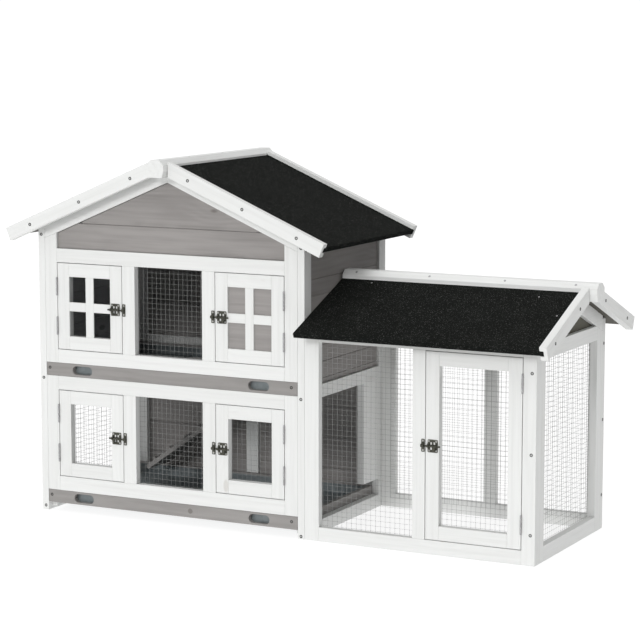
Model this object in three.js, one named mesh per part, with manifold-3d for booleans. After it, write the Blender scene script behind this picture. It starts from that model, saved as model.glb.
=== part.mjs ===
// Two-storey rabbit hutch with a ground run beside it. Millimetres, +Z up.
// The pieces are drawn in a site frame whose corner is the house's left front foot:
// X runs to the right, Y to the back. The exported group is then centred on its base.
import * as THREE from 'three';
import { mergeVertices } from 'three/addons/utils/BufferGeometryUtils.js';
import Module from 'manifold-3d';

const wasm = await Module();
wasm.setup();

// ---- Driving dimensions ---------------------------------------------------------------
// Overall
const HOUSE_WIDTH = 810;
const HOUSE_DEPTH = 480;
const RUN_LENGTH = 638;
const RUN_EAVE = 562;
// Timber and fits
const TIMBER = 20; // thickness of every frame
const POST = 38; // width of the side frames' posts
const MEMBER = 37.5; // width of the other frame members
const MID_STILE = 38.5;
const FIT = 0.3; // clearance between pieces that touch
const BOARD = 8; // thickness of the tongued boards
const BOARD_INSET = 6; // boards sit this far back from a frame's face
const WIRE_SHEET = 1; // thickness of a wire panel
const WIRE_LAP = 12; // wire panels lap their frames by this much
// Storeys, from the ground up
const TRAY_LIFT = 23.1; // clearance under the lower tray
const LOWER_SILL = 39.4; // bottom rail of the lower front frame
const LOWER_OPENING = 239;
const LOWER_HEAD = 37.7;
const UPPER_SILL = 36.5;
const UPPER_OPENING = 237.5;
const WALL_HEAD = 58.4; // from the foot of the gable to the underside of the roof at the walls
const SIDE_RAIL_RISE = 18.7; // top of the side frames' middle rail above the upper tray's foot
const SIDE_RAIL_WIDTH = 35;
const SIDE_SILL = 35; // bottom rails of the side frames and of the back frame
const INFILL_WIDTH = 93; // board between the doorway to the run and the back post
const INFILL_FOOT = 80;
const BACK_RAIL_RISE = 53.7; // top of the back frame's middle rail above the upper tray's foot
const BACK_FRAME = 12; // thickness of the back frame, which the boards cover
const BACK_BOARD = 9.7;
// Trays
const TRAY_HEIGHT = 34.9;
const TRAY_WALL = 12;
const TRAY_FRONT = 15;
const TRAY_SHEET = 1.5;
const TRAY_SHEET_RISE = 3.5;
const TRAY_SHEET_LIP = 27; // the sheet turns up by this much all round, behind the finger slots
const TRAY_SIDE_PLAY = 1;
const TRAY_BACK_PLAY = 6;
const TRAY_GAP = 0.6; // clearance above and below a tray's front board
const RUNNER = 14;
const SLOT_WIDTH = 62;
const SLOT_HEIGHT = 23.5;
const SLOT_INSET = 113.5; // from the tray's end to the slot's centre
const HATCH = { left: 210, length: 410, width: 130, fromBack: 28 }; // left is from the side frame
// Ramp
const RAMP = { pitch: 35, thickness: 12, width: 119, start: 112, cleat: 8 }; // start is from the side frame
const RAMP_FOOT_GAP = 4; // the ramp's foot clears the lower tray by this much
const RAMP_CLEAT_PITCH = 60;
const RAMP_HEADROOM = 3; // left between the ramp's top and the upper tray
// Doors
const DOOR_GAP = 1.8;
const DOOR_STILE = 36.5;
const DOOR_RAIL = 36;
const MUNTIN = 24.5;
const MUNTIN_DEPTH = 4; // muntins are laid on a pane that sits in the frame
const PANE = 3;
const DOOR_BOARD = 6;
// Run
const RUN_LEFT_STILE = 40.5;
const RUN_MID_STILE = 35;
const RUN_DOOR_WIDTH = 262.5; // the opening that the door fills
const RUN_RIGHT_STILE = 35.5;
const RUN_SILL = 37;
const RUN_OPENING_TOP = 520;
const RUN_SIDE_SILL = 40;
const RUN_SIDE_RAIL_BASE = 510;
// Heights that follow from the storeys
const lowerRailBase = TRAY_LIFT + TRAY_HEIGHT + TRAY_GAP;
const lowerOpeningBase = lowerRailBase + LOWER_SILL;
const lowerOpeningTop = lowerOpeningBase + LOWER_OPENING;
const lowerFrameTop = lowerOpeningTop + LOWER_HEAD;
const upperTrayBase = lowerFrameTop + TRAY_GAP;
const upperRailBase = upperTrayBase + TRAY_HEIGHT + TRAY_GAP;
const upperOpeningBase = upperRailBase + UPPER_SILL;
const upperOpeningTop = upperOpeningBase + UPPER_OPENING;
const gableBase = upperOpeningTop + MEMBER;
const houseEave = gableBase + WALL_HEAD;
// Roofs: eave height, half span between the wall faces, and the ends measured from the ridge
const ROOF_PANEL = 13;
const HOUSE_ROOF = { eave: houseEave, half: HOUSE_WIDTH / 2, pitch: 23, ridgeRise: 21, overhang: 77 };
const RUN_ROOF = { eave: RUN_EAVE, half: HOUSE_DEPTH / 2, pitch: 21.5, ridgeRise: 26, overhang: 75 };
const RIDGE = { width: 54, foot: 43, height: 46, shoulder: 13, flat: 27, taper: 20 };
const RIDGE_END = 20; // the ridge bars run this far past the bargeboards
const BARGE = { depth: 20, flange: 11, play: 2, web: 10 }; // play is the groove's over the panel
const BARGE_REACH = 42; // outer face of the house's bargeboards from the walls
const RUN_BARGE_REACH = 54;
const RUN_ROOF_START = 2; // gap between the house and the run's roof
const PANEL_SHORT = 2; // roof panels stop this short of the bargeboards' ends
// Hardware
const HINGE = { height: 50, radius: 2.4, leaf: 0.6, leafDepth: 18, stand: 2.8 };
const HINGE_INSET = 38.5; // from a door's top and bottom edge to the hinge
const BOLT = { radius: 2.3, length: 41, stand: 5, tongue: 14, tongueWidth: 5, tongueDepth: 2.4, tongueFrom: 25.5 };
const BOLT_TIP_SHORT = 0.5; // the drawn bolt's tip stops this far inside the door's edge
const SEGMENTS = 24;

// ---- Finishes -------------------------------------------------------------------------
const finish = (color, roughness, metalness = 0, extra = {}) => () =>
  new THREE.MeshStandardMaterial({ color, roughness, metalness, ...extra });
const whitePaint = finish(0xeceeed, 0.6);
const greyStain = finish(0x8f8a86, 0.7);
const blackFelt = finish(0x1b1c1d, 0.95);
const wire = finish(0x9a9c9b, 0.4, 0.9, { transparent: true, opacity: 0.35 });
const zincSheet = finish(0x7c8a92, 0.45, 0.6);
const acrylic = finish(0xdfe7ea, 0.08, 0, { transparent: true, opacity: 0.3 });
const hingeSteel = finish(0x8c8e8f, 0.4, 0.9);
const boltSteel = finish(0x4c4a44, 0.5, 0.85);

// ---- Solids ---------------------------------------------------------------------------
// Outline points are [across, up]; they stand up facing front (across is X) or facing the
// side (across is Y).
const rect = (x0, z0, x1, z1) => [[x0, z0], [x1, z0], [x1, z1], [x0, z1]];

const CUT_PAST = 1; // a hole's cutter runs this far past both faces

function prism(outline, depth) {
  const shape = new THREE.Shape(outline.map(([x, z]) => new THREE.Vector2(x, z)));
  return new THREE.ExtrudeGeometry(shape, { depth, bevelEnabled: false });
}

function slab(outline, depth, holes = []) {
  const cutters = holes.map((hole) =>
    prism(hole, depth + 2 * CUT_PAST).translate(0, 0, -CUT_PAST));
  return cutters.length ? cut(prism(outline, depth), ...cutters) : prism(outline, depth);
}

const facingFront = new THREE.Matrix4().makeBasis(
  new THREE.Vector3(1, 0, 0),
  new THREE.Vector3(0, 0, 1),
  new THREE.Vector3(0, -1, 0),
);
const facingSide = new THREE.Matrix4().makeBasis(
  new THREE.Vector3(0, 1, 0),
  new THREE.Vector3(0, 0, 1),
  new THREE.Vector3(1, 0, 0),
);

// A slab that faces front and fills y0 to y0 + depth.
function frontSlab(outline, y0, depth, holes) {
  return slab(outline, depth, holes).applyMatrix4(facingFront).translate(0, y0 + depth, 0);
}

// A slab that faces the side and fills x0 to x0 + depth.
function sideSlab(outline, x0, depth, holes) {
  return slab(outline, depth, holes).applyMatrix4(facingSide).translate(x0, 0, 0);
}

// A level slab that fills z0 to z0 + depth; its outline is [x, y].
function levelSlab(outline, z0, depth, holes) {
  return slab(outline, depth, holes).translate(0, 0, z0);
}

function box(x0, y0, z0, x1, y1, z1) {
  return levelSlab(rect(x0, y0, x1, y1), z0, z1 - z0);
}

function toSolid(geometry) {
  const bare = geometry.index ? geometry.clone() : geometry;
  bare.deleteAttribute('normal');
  bare.deleteAttribute('uv');
  const merged = mergeVertices(bare, 1e-4);
  return new wasm.Manifold(new wasm.Mesh({
    numProp: 3,
    vertProperties: new Float32Array(merged.attributes.position.array),
    triVerts: new Uint32Array(merged.index.array),
  }));
}

function toGeometry(solid) {
  const mesh = solid.getMesh();
  const geometry = new THREE.BufferGeometry();
  geometry.setAttribute('position', new THREE.BufferAttribute(mesh.vertProperties, mesh.numProp));
  geometry.setIndex(new THREE.BufferAttribute(mesh.triVerts, 1));
  return geometry;
}

function join(first, ...others) {
  return toGeometry(others.reduce((sum, other) => sum.add(toSolid(other)), toSolid(first)));
}

function cut(body, ...tools) {
  return toGeometry(tools.reduce((rest, tool) => rest.subtract(toSolid(tool)), toSolid(body)));
}

// ---- Scene ----------------------------------------------------------------------------
const hutch = new THREE.Group();
const site = new THREE.Group();
hutch.add(site);

function place(name, geometry, material, parent = site) {
  const mesh = new THREE.Mesh(geometry, material());
  mesh.name = name;
  parent.add(mesh);
  return mesh;
}

// ---- Roof lines -----------------------------------------------------------------------
// Across is measured from the ridge. A point on the slope has a run down the slope and an
// offset square to it, both from the apex of the roof's underside.
const rad = THREE.MathUtils.degToRad;
const apex = (roof) => roof.eave + roof.half * Math.tan(rad(roof.pitch));
const underside = (roof, across) => apex(roof) - Math.abs(across) * Math.tan(rad(roof.pitch));
const ridgeTop = (roof) => apex(roof) + roof.ridgeRise;
const slotUnderRidge = (roof) => ridgeTop(roof) - RIDGE.height - FIT;
const bargeLow = -BARGE.play / 2 - BARGE.flange;
const bargeHigh = ROOF_PANEL + BARGE.play / 2 + BARGE.flange;

function slopePoint(roof, run, offset, side) {
  const pitch = rad(roof.pitch);
  const across = run * Math.cos(pitch) + offset * Math.sin(pitch);
  return [side * across, apex(roof) - run * Math.sin(pitch) + offset * Math.cos(pitch)];
}

// The run down the slope at which a line at this offset reaches a distance across.
function runTo(roof, across, offset) {
  return (across - offset * Math.sin(rad(roof.pitch))) / Math.cos(rad(roof.pitch));
}

// A band along one slope: plumb at the ridge, cut square to the slope at the eave.
function slopeBand(roof, side, low, high, shortBy = 0) {
  const start = RIDGE.width / 2 + FIT;
  const end = runTo(roof, roof.half + roof.overhang, bargeHigh) - shortBy;
  return [
    slopePoint(roof, runTo(roof, start, low), low, side),
    slopePoint(roof, end, low, side),
    slopePoint(roof, end, high, side),
    slopePoint(roof, runTo(roof, start, high), high, side),
  ];
}

function ridgeOutline(roof) {
  const top = ridgeTop(roof);
  const half = [
    [RIDGE.foot / 2, top - RIDGE.height],
    [RIDGE.width / 2, top - RIDGE.height + RIDGE.taper],
    [RIDGE.width / 2, top - RIDGE.shoulder],
    [RIDGE.flat / 2, top],
  ];
  return [...half, ...half.map(([x, z]) => [-x, z]).reverse()];
}

// The sloped top of a gable frame between two walls, with the notch for the ridge bar.
function gableTop(roof, reach) {
  const notch = RIDGE.width / 2 + FIT;
  const high = (across) => underside(roof, across) - FIT;
  return [
    [reach, high(reach)],
    [notch, high(notch)],
    [notch, slotUnderRidge(roof)],
    [-notch, slotUnderRidge(roof)],
    [-notch, high(notch)],
    [-reach, high(reach)],
  ];
}

// The opening under the two rafters of a gable frame.
function gableOpening(roof, reach, base) {
  const drop = MEMBER / Math.cos(rad(roof.pitch));
  const low = (across) => underside(roof, across) - drop;
  const foot = low(reach) > base ? [[reach, base], [reach, low(reach)]] : [];
  const meet = (low(0) - base) / Math.tan(rad(roof.pitch));
  const right = foot.length ? foot : [[meet, base]];
  return [...right, [0, low(0)], ...right.map(([x, z]) => [-x, z]).reverse()];
}

const shift = (points, by) => points.map(([x, z]) => [x + by, z]);

// ---- House ----------------------------------------------------------------------------
const right = HOUSE_WIDTH - TIMBER; // inner face of the right side frame
const back = HOUSE_DEPTH - BACK_FRAME - BACK_BOARD - FIT; // inner face of the back frame
const middle = HOUSE_WIDTH / 2;
const bayCount = 3;
const bay = (right - TIMBER - 2 * FIT - 2 * MEMBER - (bayCount - 1) * MID_STILE) / bayCount;
const bayLeft = (i) => TIMBER + FIT + MEMBER + i * (bay + MID_STILE);
const sideTop = houseEave - FIT;
const sideRailTop = upperTrayBase + SIDE_RAIL_RISE;
const sideRailBase = sideRailTop - SIDE_RAIL_WIDTH;
const trayBases = { upper: upperTrayBase, lower: TRAY_LIFT };
const boardHole = rect(POST, sideRailTop, HOUSE_DEPTH - POST, sideTop - MEMBER);
const fitted = ([[x0, z0], , [x1, z1]]) => rect(x0 + FIT, z0 + FIT, x1 - FIT, z1 - FIT);
const lapped = ([[x0, z0], , [x1, z1]], lap) => rect(x0 - lap, z0 - lap, x1 + lap, z1 + lap);

function sideFrame(name, x0, runnerX, lowerHole) {
  const panel = sideSlab(rect(0, 0, HOUSE_DEPTH, sideTop), x0, TIMBER, [boardHole, lowerHole]);
  const runners = Object.values(trayBases).map((base) =>
    box(runnerX, TIMBER + FIT, base - FIT - RUNNER, runnerX + RUNNER + 1, back - FIT, base - FIT));
  place(name, join(panel, ...runners), whitePaint);
}

const doorwayBack = HOUSE_DEPTH - POST - INFILL_WIDTH;
const leftWindow = rect(POST, SIDE_SILL, HOUSE_DEPTH - POST, sideRailBase);
const doorway = [
  [POST, SIDE_SILL],
  [HOUSE_DEPTH - POST, SIDE_SILL],
  [HOUSE_DEPTH - POST, INFILL_FOOT],
  [doorwayBack, INFILL_FOOT],
  [doorwayBack, sideRailBase],
  [POST, sideRailBase],
];
sideFrame('house_left_side_frame', 0, TIMBER - 1, leftWindow);
sideFrame('house_right_side_frame', right, right - RUNNER, doorway);
place('house_left_boards', sideSlab(fitted(boardHole), BOARD_INSET, BOARD), greyStain);
place('house_right_boards',
  sideSlab(fitted(boardHole), HOUSE_WIDTH - BOARD_INSET - BOARD, BOARD), greyStain);
place('house_left_window_wire', sideSlab(fitted(leftWindow), BOARD_INSET, WIRE_SHEET), wire);

// Front frames between the side frames
const frontLeft = TIMBER + FIT;
const frontRight = right - FIT;
const halfFront = frontRight - middle;
const gableHole = shift(gableOpening(HOUSE_ROOF, halfFront - MEMBER, gableBase), middle);
const bays = (z0, z1) =>
  Array.from({ length: bayCount }, (_, i) => rect(bayLeft(i), z0, bayLeft(i) + bay, z1));
const upperBays = bays(upperOpeningBase, upperOpeningTop);
const lowerBays = bays(lowerOpeningBase, lowerOpeningTop);
const gabled = (base) => [
  [frontLeft, base],
  [frontRight, base],
  ...shift(gableTop(HOUSE_ROOF, halfFront), middle),
];
place('house_upper_front_frame',
  frontSlab(gabled(upperRailBase), 0, TIMBER, [...upperBays, gableHole]), whitePaint);
place('house_lower_front_frame',
  frontSlab(rect(frontLeft, lowerRailBase, frontRight, lowerFrameTop), 0, TIMBER, lowerBays),
  whitePaint);

// The gable board fills the gable opening with a fitting gap all round.
function shrink(points, by) {
  const cx = points.reduce((sum, [x]) => sum + x, 0) / points.length;
  const cz = points.reduce((sum, [, z]) => sum + z, 0) / points.length;
  const halfX = Math.max(...points.map(([x]) => Math.abs(x - cx)));
  const halfZ = Math.max(...points.map(([, z]) => Math.abs(z - cz)));
  const scale = 1 - (4 * by) / Math.min(halfX, halfZ);
  return points.map(([x, z]) => [cx + (x - cx) * scale, cz + (z - cz) * scale]);
}
place('house_gable_board', frontSlab(shrink(gableHole, FIT), BOARD_INSET, BOARD), greyStain);
const wireBehind = TIMBER + FIT;
place('house_upper_wire',
  frontSlab(lapped(upperBays[1], WIRE_LAP), wireBehind, WIRE_SHEET), wire);
place('house_lower_wire',
  frontSlab(lapped(lowerBays[1], WIRE_LAP), wireBehind, WIRE_SHEET), wire);

// Back frame with its boards outside it
const backRailTop = upperTrayBase + BACK_RAIL_RISE;
const backHoles = [[SIDE_SILL, backRailTop - MEMBER], [backRailTop, gableBase - MEMBER]].flatMap(
  ([z0, z1]) => [
    rect(frontLeft + MEMBER, z0, middle - MEMBER / 2, z1),
    rect(middle + MEMBER / 2, z0, frontRight - MEMBER, z1),
  ]);
place('house_back_frame',
  frontSlab(gabled(0), back, BACK_FRAME, [...backHoles, gableHole]), whitePaint);
place('house_back_boards', frontSlab(gabled(0), HOUSE_DEPTH - BACK_BOARD, BACK_BOARD), greyStain);

// Trays: a board front and low walls round a metal sheet
const trayLeft = TIMBER + TRAY_SIDE_PLAY;
const trayRight = right - TRAY_SIDE_PLAY;
const trayBack = back - TRAY_BACK_PLAY;
const trayInner = rect(trayLeft + TRAY_WALL, TRAY_FRONT, trayRight - TRAY_WALL, trayBack - TRAY_WALL);

function fingerSlot(centreX, centreZ) {
  const end = SLOT_HEIGHT / 2;
  const straight = SLOT_WIDTH / 2 - end;
  const shape = new THREE.Shape();
  shape.absarc(centreX + straight, centreZ, end, -Math.PI / 2, Math.PI / 2, false);
  shape.absarc(centreX - straight, centreZ, end, Math.PI / 2, Math.PI * 1.5, false);
  const depth = TRAY_FRONT + 4;
  return new THREE.ExtrudeGeometry(shape, { depth, bevelEnabled: false, curveSegments: 10 })
    .applyMatrix4(facingFront)
    .translate(0, depth - 2, 0);
}

function tray(level, hatch) {
  const base = trayBases[level];
  const group = new THREE.Group();
  site.add(group);
  const walls = levelSlab(rect(trayLeft, 0, trayRight, trayBack), base, TRAY_HEIGHT, [trayInner]);
  const slots = [trayLeft + SLOT_INSET, trayRight - SLOT_INSET].map((x) =>
    fingerSlot(x, base + TRAY_HEIGHT / 2));
  place(`${level}_tray_box`, cut(walls, ...slots), greyStain, group);
  const floor = levelSlab(fitted(trayInner), base + TRAY_SHEET_RISE, TRAY_SHEET, hatch);
  const [[x0, y0], , [x1, y1]] = fitted(trayInner);
  const within = rect(x0 + TRAY_SHEET, y0 + TRAY_SHEET, x1 - TRAY_SHEET, y1 - TRAY_SHEET);
  const lip = levelSlab(rect(x0, y0, x1, y1), base + TRAY_SHEET_RISE, TRAY_SHEET_LIP, [within]);
  place(`${level}_tray_sheet`, join(floor, lip), zincSheet, group);
}
const hatchLeft = TIMBER + HATCH.left;
const hatchBack = back - HATCH.fromBack;
tray('upper', [rect(hatchLeft, hatchBack - HATCH.width, hatchLeft + HATCH.length, hatchBack)]);
tray('lower', []);

// Ramp: a cleated board from the lower floor up to the hatch, against the back frame
function ramp() {
  const pitch = rad(RAMP.pitch);
  const high = upperTrayBase - RAMP_HEADROOM - RAMP.thickness - RAMP.cleat;
  const foot = TRAY_LIFT + TRAY_HEIGHT + RAMP_FOOT_GAP;
  const length = (high - foot) / Math.sin(pitch);
  const top = [];
  for (let s = RAMP_CLEAT_PITCH / 2; s < length - RAMP.cleat; s += RAMP_CLEAT_PITCH) {
    top.push([s, RAMP.thickness], [s, RAMP.thickness + RAMP.cleat]);
    top.push([s + RAMP.cleat, RAMP.thickness + RAMP.cleat], [s + RAMP.cleat, RAMP.thickness]);
  }
  const outline = [[0, 0], [0, RAMP.thickness], ...top, [length, RAMP.thickness], [length, 0]];
  const mesh = place('ramp', slab(outline, RAMP.width).applyMatrix4(facingFront), greyStain);
  mesh.rotation.y = -pitch;
  mesh.position.set(TIMBER + RAMP.start, back - FIT, foot);
}
ramp();

// ---- Roofs ----------------------------------------------------------------------------
const sides = { left: -1, right: 1 };

// One bargeboard: a channel whose groove takes the roof panel's edge. Facing says on which
// side of it the roof lies: +1 puts the groove on the far side.
function bargeboard(roof, side, centre, stand, from, facing) {
  const body = stand(shift(slopeBand(roof, side, bargeLow, bargeHigh), centre), from, BARGE.depth);
  const grooveLow = bargeLow + BARGE.flange;
  const grooveHigh = bargeHigh - BARGE.flange;
  const band = shift(slopeBand(roof, side, grooveLow, grooveHigh, -CUT_PAST), centre);
  const start = facing > 0 ? from + BARGE.web : from - CUT_PAST;
  return cut(body, stand(band, start, BARGE.depth - BARGE.web + CUT_PAST));
}

const houseBargeFront = -BARGE_REACH;
const houseBargeBack = HOUSE_DEPTH + BARGE_REACH - BARGE.depth;
const grooveDepth = BARGE.depth - BARGE.web;
place('house_ridge_bar',
  frontSlab(shift(ridgeOutline(HOUSE_ROOF), middle), -BARGE_REACH - RIDGE_END,
    HOUSE_DEPTH + 2 * (BARGE_REACH + RIDGE_END)), whitePaint);
for (const [name, side] of Object.entries(sides)) {
  const y0 = houseBargeFront + BARGE.web + FIT;
  const y1 = houseBargeBack + grooveDepth - FIT;
  const band = shift(slopeBand(HOUSE_ROOF, side, 0, ROOF_PANEL, PANEL_SHORT), middle);
  place(`house_roof_${name}`, frontSlab(band, y0, y1 - y0), blackFelt);
  place(`house_front_bargeboard_${name}`,
    bargeboard(HOUSE_ROOF, side, middle, frontSlab, houseBargeFront, 1), whitePaint);
  place(`house_back_bargeboard_${name}`,
    bargeboard(HOUSE_ROOF, side, middle, frontSlab, houseBargeBack, -1), whitePaint);
}

// ---- Run ------------------------------------------------------------------------------
const runLeft = HOUSE_WIDTH + FIT;
const runRight = HOUSE_WIDTH + RUN_LENGTH;
const runTop = RUN_EAVE - FIT;
const runCentre = HOUSE_DEPTH / 2;
const runDoorRight = runRight - RUN_RIGHT_STILE;
const runDoorLeft = runDoorRight - RUN_DOOR_WIDTH;
const runDoorHole = rect(runDoorLeft, RUN_SILL, runDoorRight, RUN_OPENING_TOP);
const runWireHole = rect(
  runLeft + RUN_LEFT_STILE, RUN_SILL, runDoorLeft - RUN_MID_STILE, RUN_OPENING_TOP);
const runBackHoles = [
  runWireHole,
  rect(runDoorLeft, RUN_SILL, runRight - MEMBER, RUN_OPENING_TOP),
];
const runWall = rect(runLeft, 0, runRight, runTop);
place('run_front_frame', frontSlab(runWall, 0, TIMBER, [runWireHole, runDoorHole]), whitePaint);
place('run_back_frame',
  frontSlab(runWall, HOUSE_DEPTH - TIMBER, TIMBER, runBackHoles), whitePaint);
place('run_front_wire',
  frontSlab(lapped(runWireHole, WIRE_LAP), wireBehind, WIRE_SHEET), wire);
const backWireHole = rect(runWireHole[0][0], RUN_SILL, runRight - MEMBER, RUN_OPENING_TOP);
place('run_back_wire',
  frontSlab(lapped(backWireHole, WIRE_LAP), HOUSE_DEPTH - TIMBER - FIT - WIRE_SHEET, WIRE_SHEET),
  wire);

const gableReach = runCentre - TIMBER - FIT;
const runSideOutline = [
  [-gableReach, 0],
  [gableReach, 0],
  ...gableTop(RUN_ROOF, gableReach),
];
const runSideHole = rect(
  TIMBER + FIT + MEMBER, RUN_SIDE_SILL, HOUSE_DEPTH - TIMBER - FIT - MEMBER, RUN_SIDE_RAIL_BASE);
const runGableHole = shift(
  gableOpening(RUN_ROOF, gableReach - MEMBER, RUN_SIDE_RAIL_BASE + MEMBER), runCentre);
const runSidePanel =
  sideSlab(shift(runSideOutline, runCentre), runRight - TIMBER, TIMBER, [runSideHole, runGableHole]);
// A board let into the frame from inside closes the gable.
const runGableBoard = sideSlab(runGableHole, runRight - TIMBER, BOARD);
place('run_side_frame', join(runSidePanel, runGableBoard), whitePaint);
place('run_side_wire',
  sideSlab(lapped(runSideHole, WIRE_LAP), runRight - TIMBER - FIT - WIRE_SHEET, WIRE_SHEET), wire);

const runRoofLeft = HOUSE_WIDTH + RUN_ROOF_START;
const runBargeX = runRight + RUN_BARGE_REACH - BARGE.depth;
place('run_ridge_bar',
  sideSlab(shift(ridgeOutline(RUN_ROOF), runCentre), runRoofLeft,
    runRight + RUN_BARGE_REACH + RIDGE_END - runRoofLeft), whitePaint);
const runSides = { front: -1, back: 1 };
for (const [name, side] of Object.entries(runSides)) {
  const band = shift(slopeBand(RUN_ROOF, side, 0, ROOF_PANEL, PANEL_SHORT), runCentre);
  const length = runBargeX + grooveDepth - FIT - runRoofLeft;
  place(`run_roof_${name}`, sideSlab(band, runRoofLeft, length), blackFelt);
  place(`run_bargeboard_${name}`,
    bargeboard(RUN_ROOF, side, runCentre, sideSlab, runBargeX, -1), whitePaint);
}

// ---- Doors ----------------------------------------------------------------------------
// Each door hangs in a group at its hinge axis. Hand is +1 when the hinges are on the left.
// Inside the group the door runs along +X times hand from the axis.
const axisInset = DOOR_GAP / 2;
const panes = {
  wire: { depth: WIRE_SHEET, material: wire, muntins: false },
  acrylic: { depth: PANE, material: acrylic, muntins: true },
  board: { depth: DOOR_BOARD, material: greyStain, muntins: true },
};

// A cross of two thin muntins that runs a little into the frame round the window.
function muntinCross([[x0, z0], , [x1, z1]], y0) {
  const middleX = (x0 + x1) / 2;
  const middleZ = (z0 + z1) / 2;
  return [
    box(middleX - MUNTIN / 2, y0, z0 - 1, middleX + MUNTIN / 2, y0 + MUNTIN_DEPTH, z1 + 1),
    box(x0 - 1, y0, middleZ - MUNTIN / 2, x1 + 1, y0 + MUNTIN_DEPTH, middleZ + MUNTIN / 2),
  ];
}

function hinge(name, group, z) {
  const barrel = new THREE.CylinderGeometry(HINGE.radius, HINGE.radius, HINGE.height, SEGMENTS)
    .rotateX(Math.PI / 2)
    .translate(0, 0, z + HINGE.height / 2);
  const leafX = -axisInset + FIT;
  const leaf = box(leafX, 0, z, leafX + HINGE.leaf, HINGE.stand + HINGE.leafDepth, z + HINGE.height);
  place(name, join(barrel, leaf), hingeSteel, group);
}

function bolt(name, width, height, group) {
  const tip = width + axisInset - BOLT_TIP_SHORT;
  const y = HINGE.stand - BOLT.stand;
  const rod = new THREE.CylinderGeometry(BOLT.radius, BOLT.radius, BOLT.length, SEGMENTS)
    .rotateZ(Math.PI / 2)
    .translate(tip - BOLT.length / 2, y, height / 2);
  const hung = tip - BOLT.tongueFrom;
  const tongue = box(
    hung - BOLT.tongueWidth / 2, y - BOLT.radius, height / 2 - BOLT.tongue,
    hung + BOLT.tongueWidth / 2, y - BOLT.radius + BOLT.tongueDepth, height / 2);
  place(name, join(rod, tongue), boltSteel, group);
}

// Mirrors a geometry in X and turns its faces out again.
function mirrored(geometry) {
  const flipped = geometry.index ? geometry.clone() : mergeVertices(geometry.clone());
  flipped.scale(-1, 1, 1);
  const index = flipped.index.array;
  for (let i = 0; i < index.length; i += 3) {
    [index[i], index[i + 1]] = [index[i + 1], index[i]];
  }
  return flipped;
}

function door(name, hole, hand, fill) {
  const [[x0, z0], , [x1, z1]] = hole;
  const width = x1 - x0 - 2 * DOOR_GAP;
  const height = z1 - z0 - 2 * DOOR_GAP;
  const pane = panes[fill];
  const group = new THREE.Group();
  const window = rect(DOOR_STILE, DOOR_RAIL, width - DOOR_STILE, height - DOOR_RAIL);
  const frame = frontSlab(rect(0, 0, width, height), HINGE.stand, TIMBER, [window]);
  const muntins = pane.muntins ? muntinCross(window, HINGE.stand) : [];
  place(`${name}_door_frame`, join(frame, ...muntins).translate(axisInset, 0, 0), whitePaint, group);
  const infill = pane.muntins
    ? frontSlab(fitted(window), HINGE.stand + MUNTIN_DEPTH + FIT, pane.depth)
    : frontSlab(lapped(window, WIRE_LAP), HINGE.stand + TIMBER + FIT, pane.depth);
  place(`${name}_door_${fill}`, infill.translate(axisInset, 0, 0), pane.material, group);
  hinge(`${name}_door_hinge_top`, group, height - HINGE_INSET - HINGE.height);
  hinge(`${name}_door_hinge_bottom`, group, HINGE_INSET);
  bolt(`${name}_door_bolt`, width, height, group);
  if (hand < 0) {
    for (const mesh of group.children) {
      mesh.geometry = mirrored(mesh.geometry);
    }
  }
  const axisX = hand > 0 ? x0 + axisInset : x1 - axisInset;
  group.position.set(axisX, -HINGE.stand, z0 + DOOR_GAP);
  site.add(group);
}

door('upper_left', upperBays[0], 1, 'acrylic');
door('upper_right', upperBays[2], -1, 'board');
door('lower_left', lowerBays[0], 1, 'wire');
door('lower_right', lowerBays[2], -1, 'wire');
door('run', runDoorHole, -1, 'wire');

// ---- Centre the whole on its base -----------------------------------------------------
const spanX = [-HOUSE_ROOF.overhang, runRight + RUN_BARGE_REACH + RIDGE_END];
const spanY = [-RUN_ROOF.overhang, HOUSE_DEPTH + RUN_ROOF.overhang];
site.position.set(-(spanX[0] + spanX[1]) / 2, -(spanY[0] + spanY[1]) / 2, 0);

export default hutch;
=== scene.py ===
"""The looks of a two-storey rabbit hutch with a ground run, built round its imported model.

Sizes are in millimetres in a site frame: its corner is the house's left front foot, X runs to the
right, Y to the back and Z up. Each piece turns them into metres in the model's own frame.
"""

import logging
import math
from collections.abc import Iterable, Sequence
from dataclasses import dataclass, field
from enum import Enum
from random import Random

import bpy
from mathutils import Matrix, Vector
from mathutils.geometry import tessellate_polygon


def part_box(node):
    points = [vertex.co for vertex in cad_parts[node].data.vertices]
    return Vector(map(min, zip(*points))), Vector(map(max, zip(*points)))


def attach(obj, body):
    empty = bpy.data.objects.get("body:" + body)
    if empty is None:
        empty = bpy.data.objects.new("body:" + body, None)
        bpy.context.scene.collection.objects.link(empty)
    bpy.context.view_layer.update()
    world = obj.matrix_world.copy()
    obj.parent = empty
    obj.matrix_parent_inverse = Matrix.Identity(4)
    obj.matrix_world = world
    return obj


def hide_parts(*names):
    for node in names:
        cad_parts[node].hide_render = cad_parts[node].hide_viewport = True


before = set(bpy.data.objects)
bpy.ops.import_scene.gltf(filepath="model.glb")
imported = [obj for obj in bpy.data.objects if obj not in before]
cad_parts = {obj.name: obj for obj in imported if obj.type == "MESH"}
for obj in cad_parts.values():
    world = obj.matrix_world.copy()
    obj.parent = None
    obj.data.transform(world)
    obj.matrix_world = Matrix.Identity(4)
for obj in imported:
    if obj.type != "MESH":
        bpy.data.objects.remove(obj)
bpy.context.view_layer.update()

LOG = logging.getLogger("hutch")
MM = 0.001
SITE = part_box("house_left_side_frame")[0]
SEAM = 0.12  # half of the hairline between two timbers that meet
FIT = 0.3

Flat = tuple[float, float]
Colour = tuple[float, float, float]
Window = tuple[float, float, float, float]  # left, foot, right and top
WHITE = (1.0, 1.0, 1.0, 1.0)
BLACK = (0.0, 0.0, 0.0, 1.0)


# ---- Shader recipes -------------------------------------------------------------------------


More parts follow.
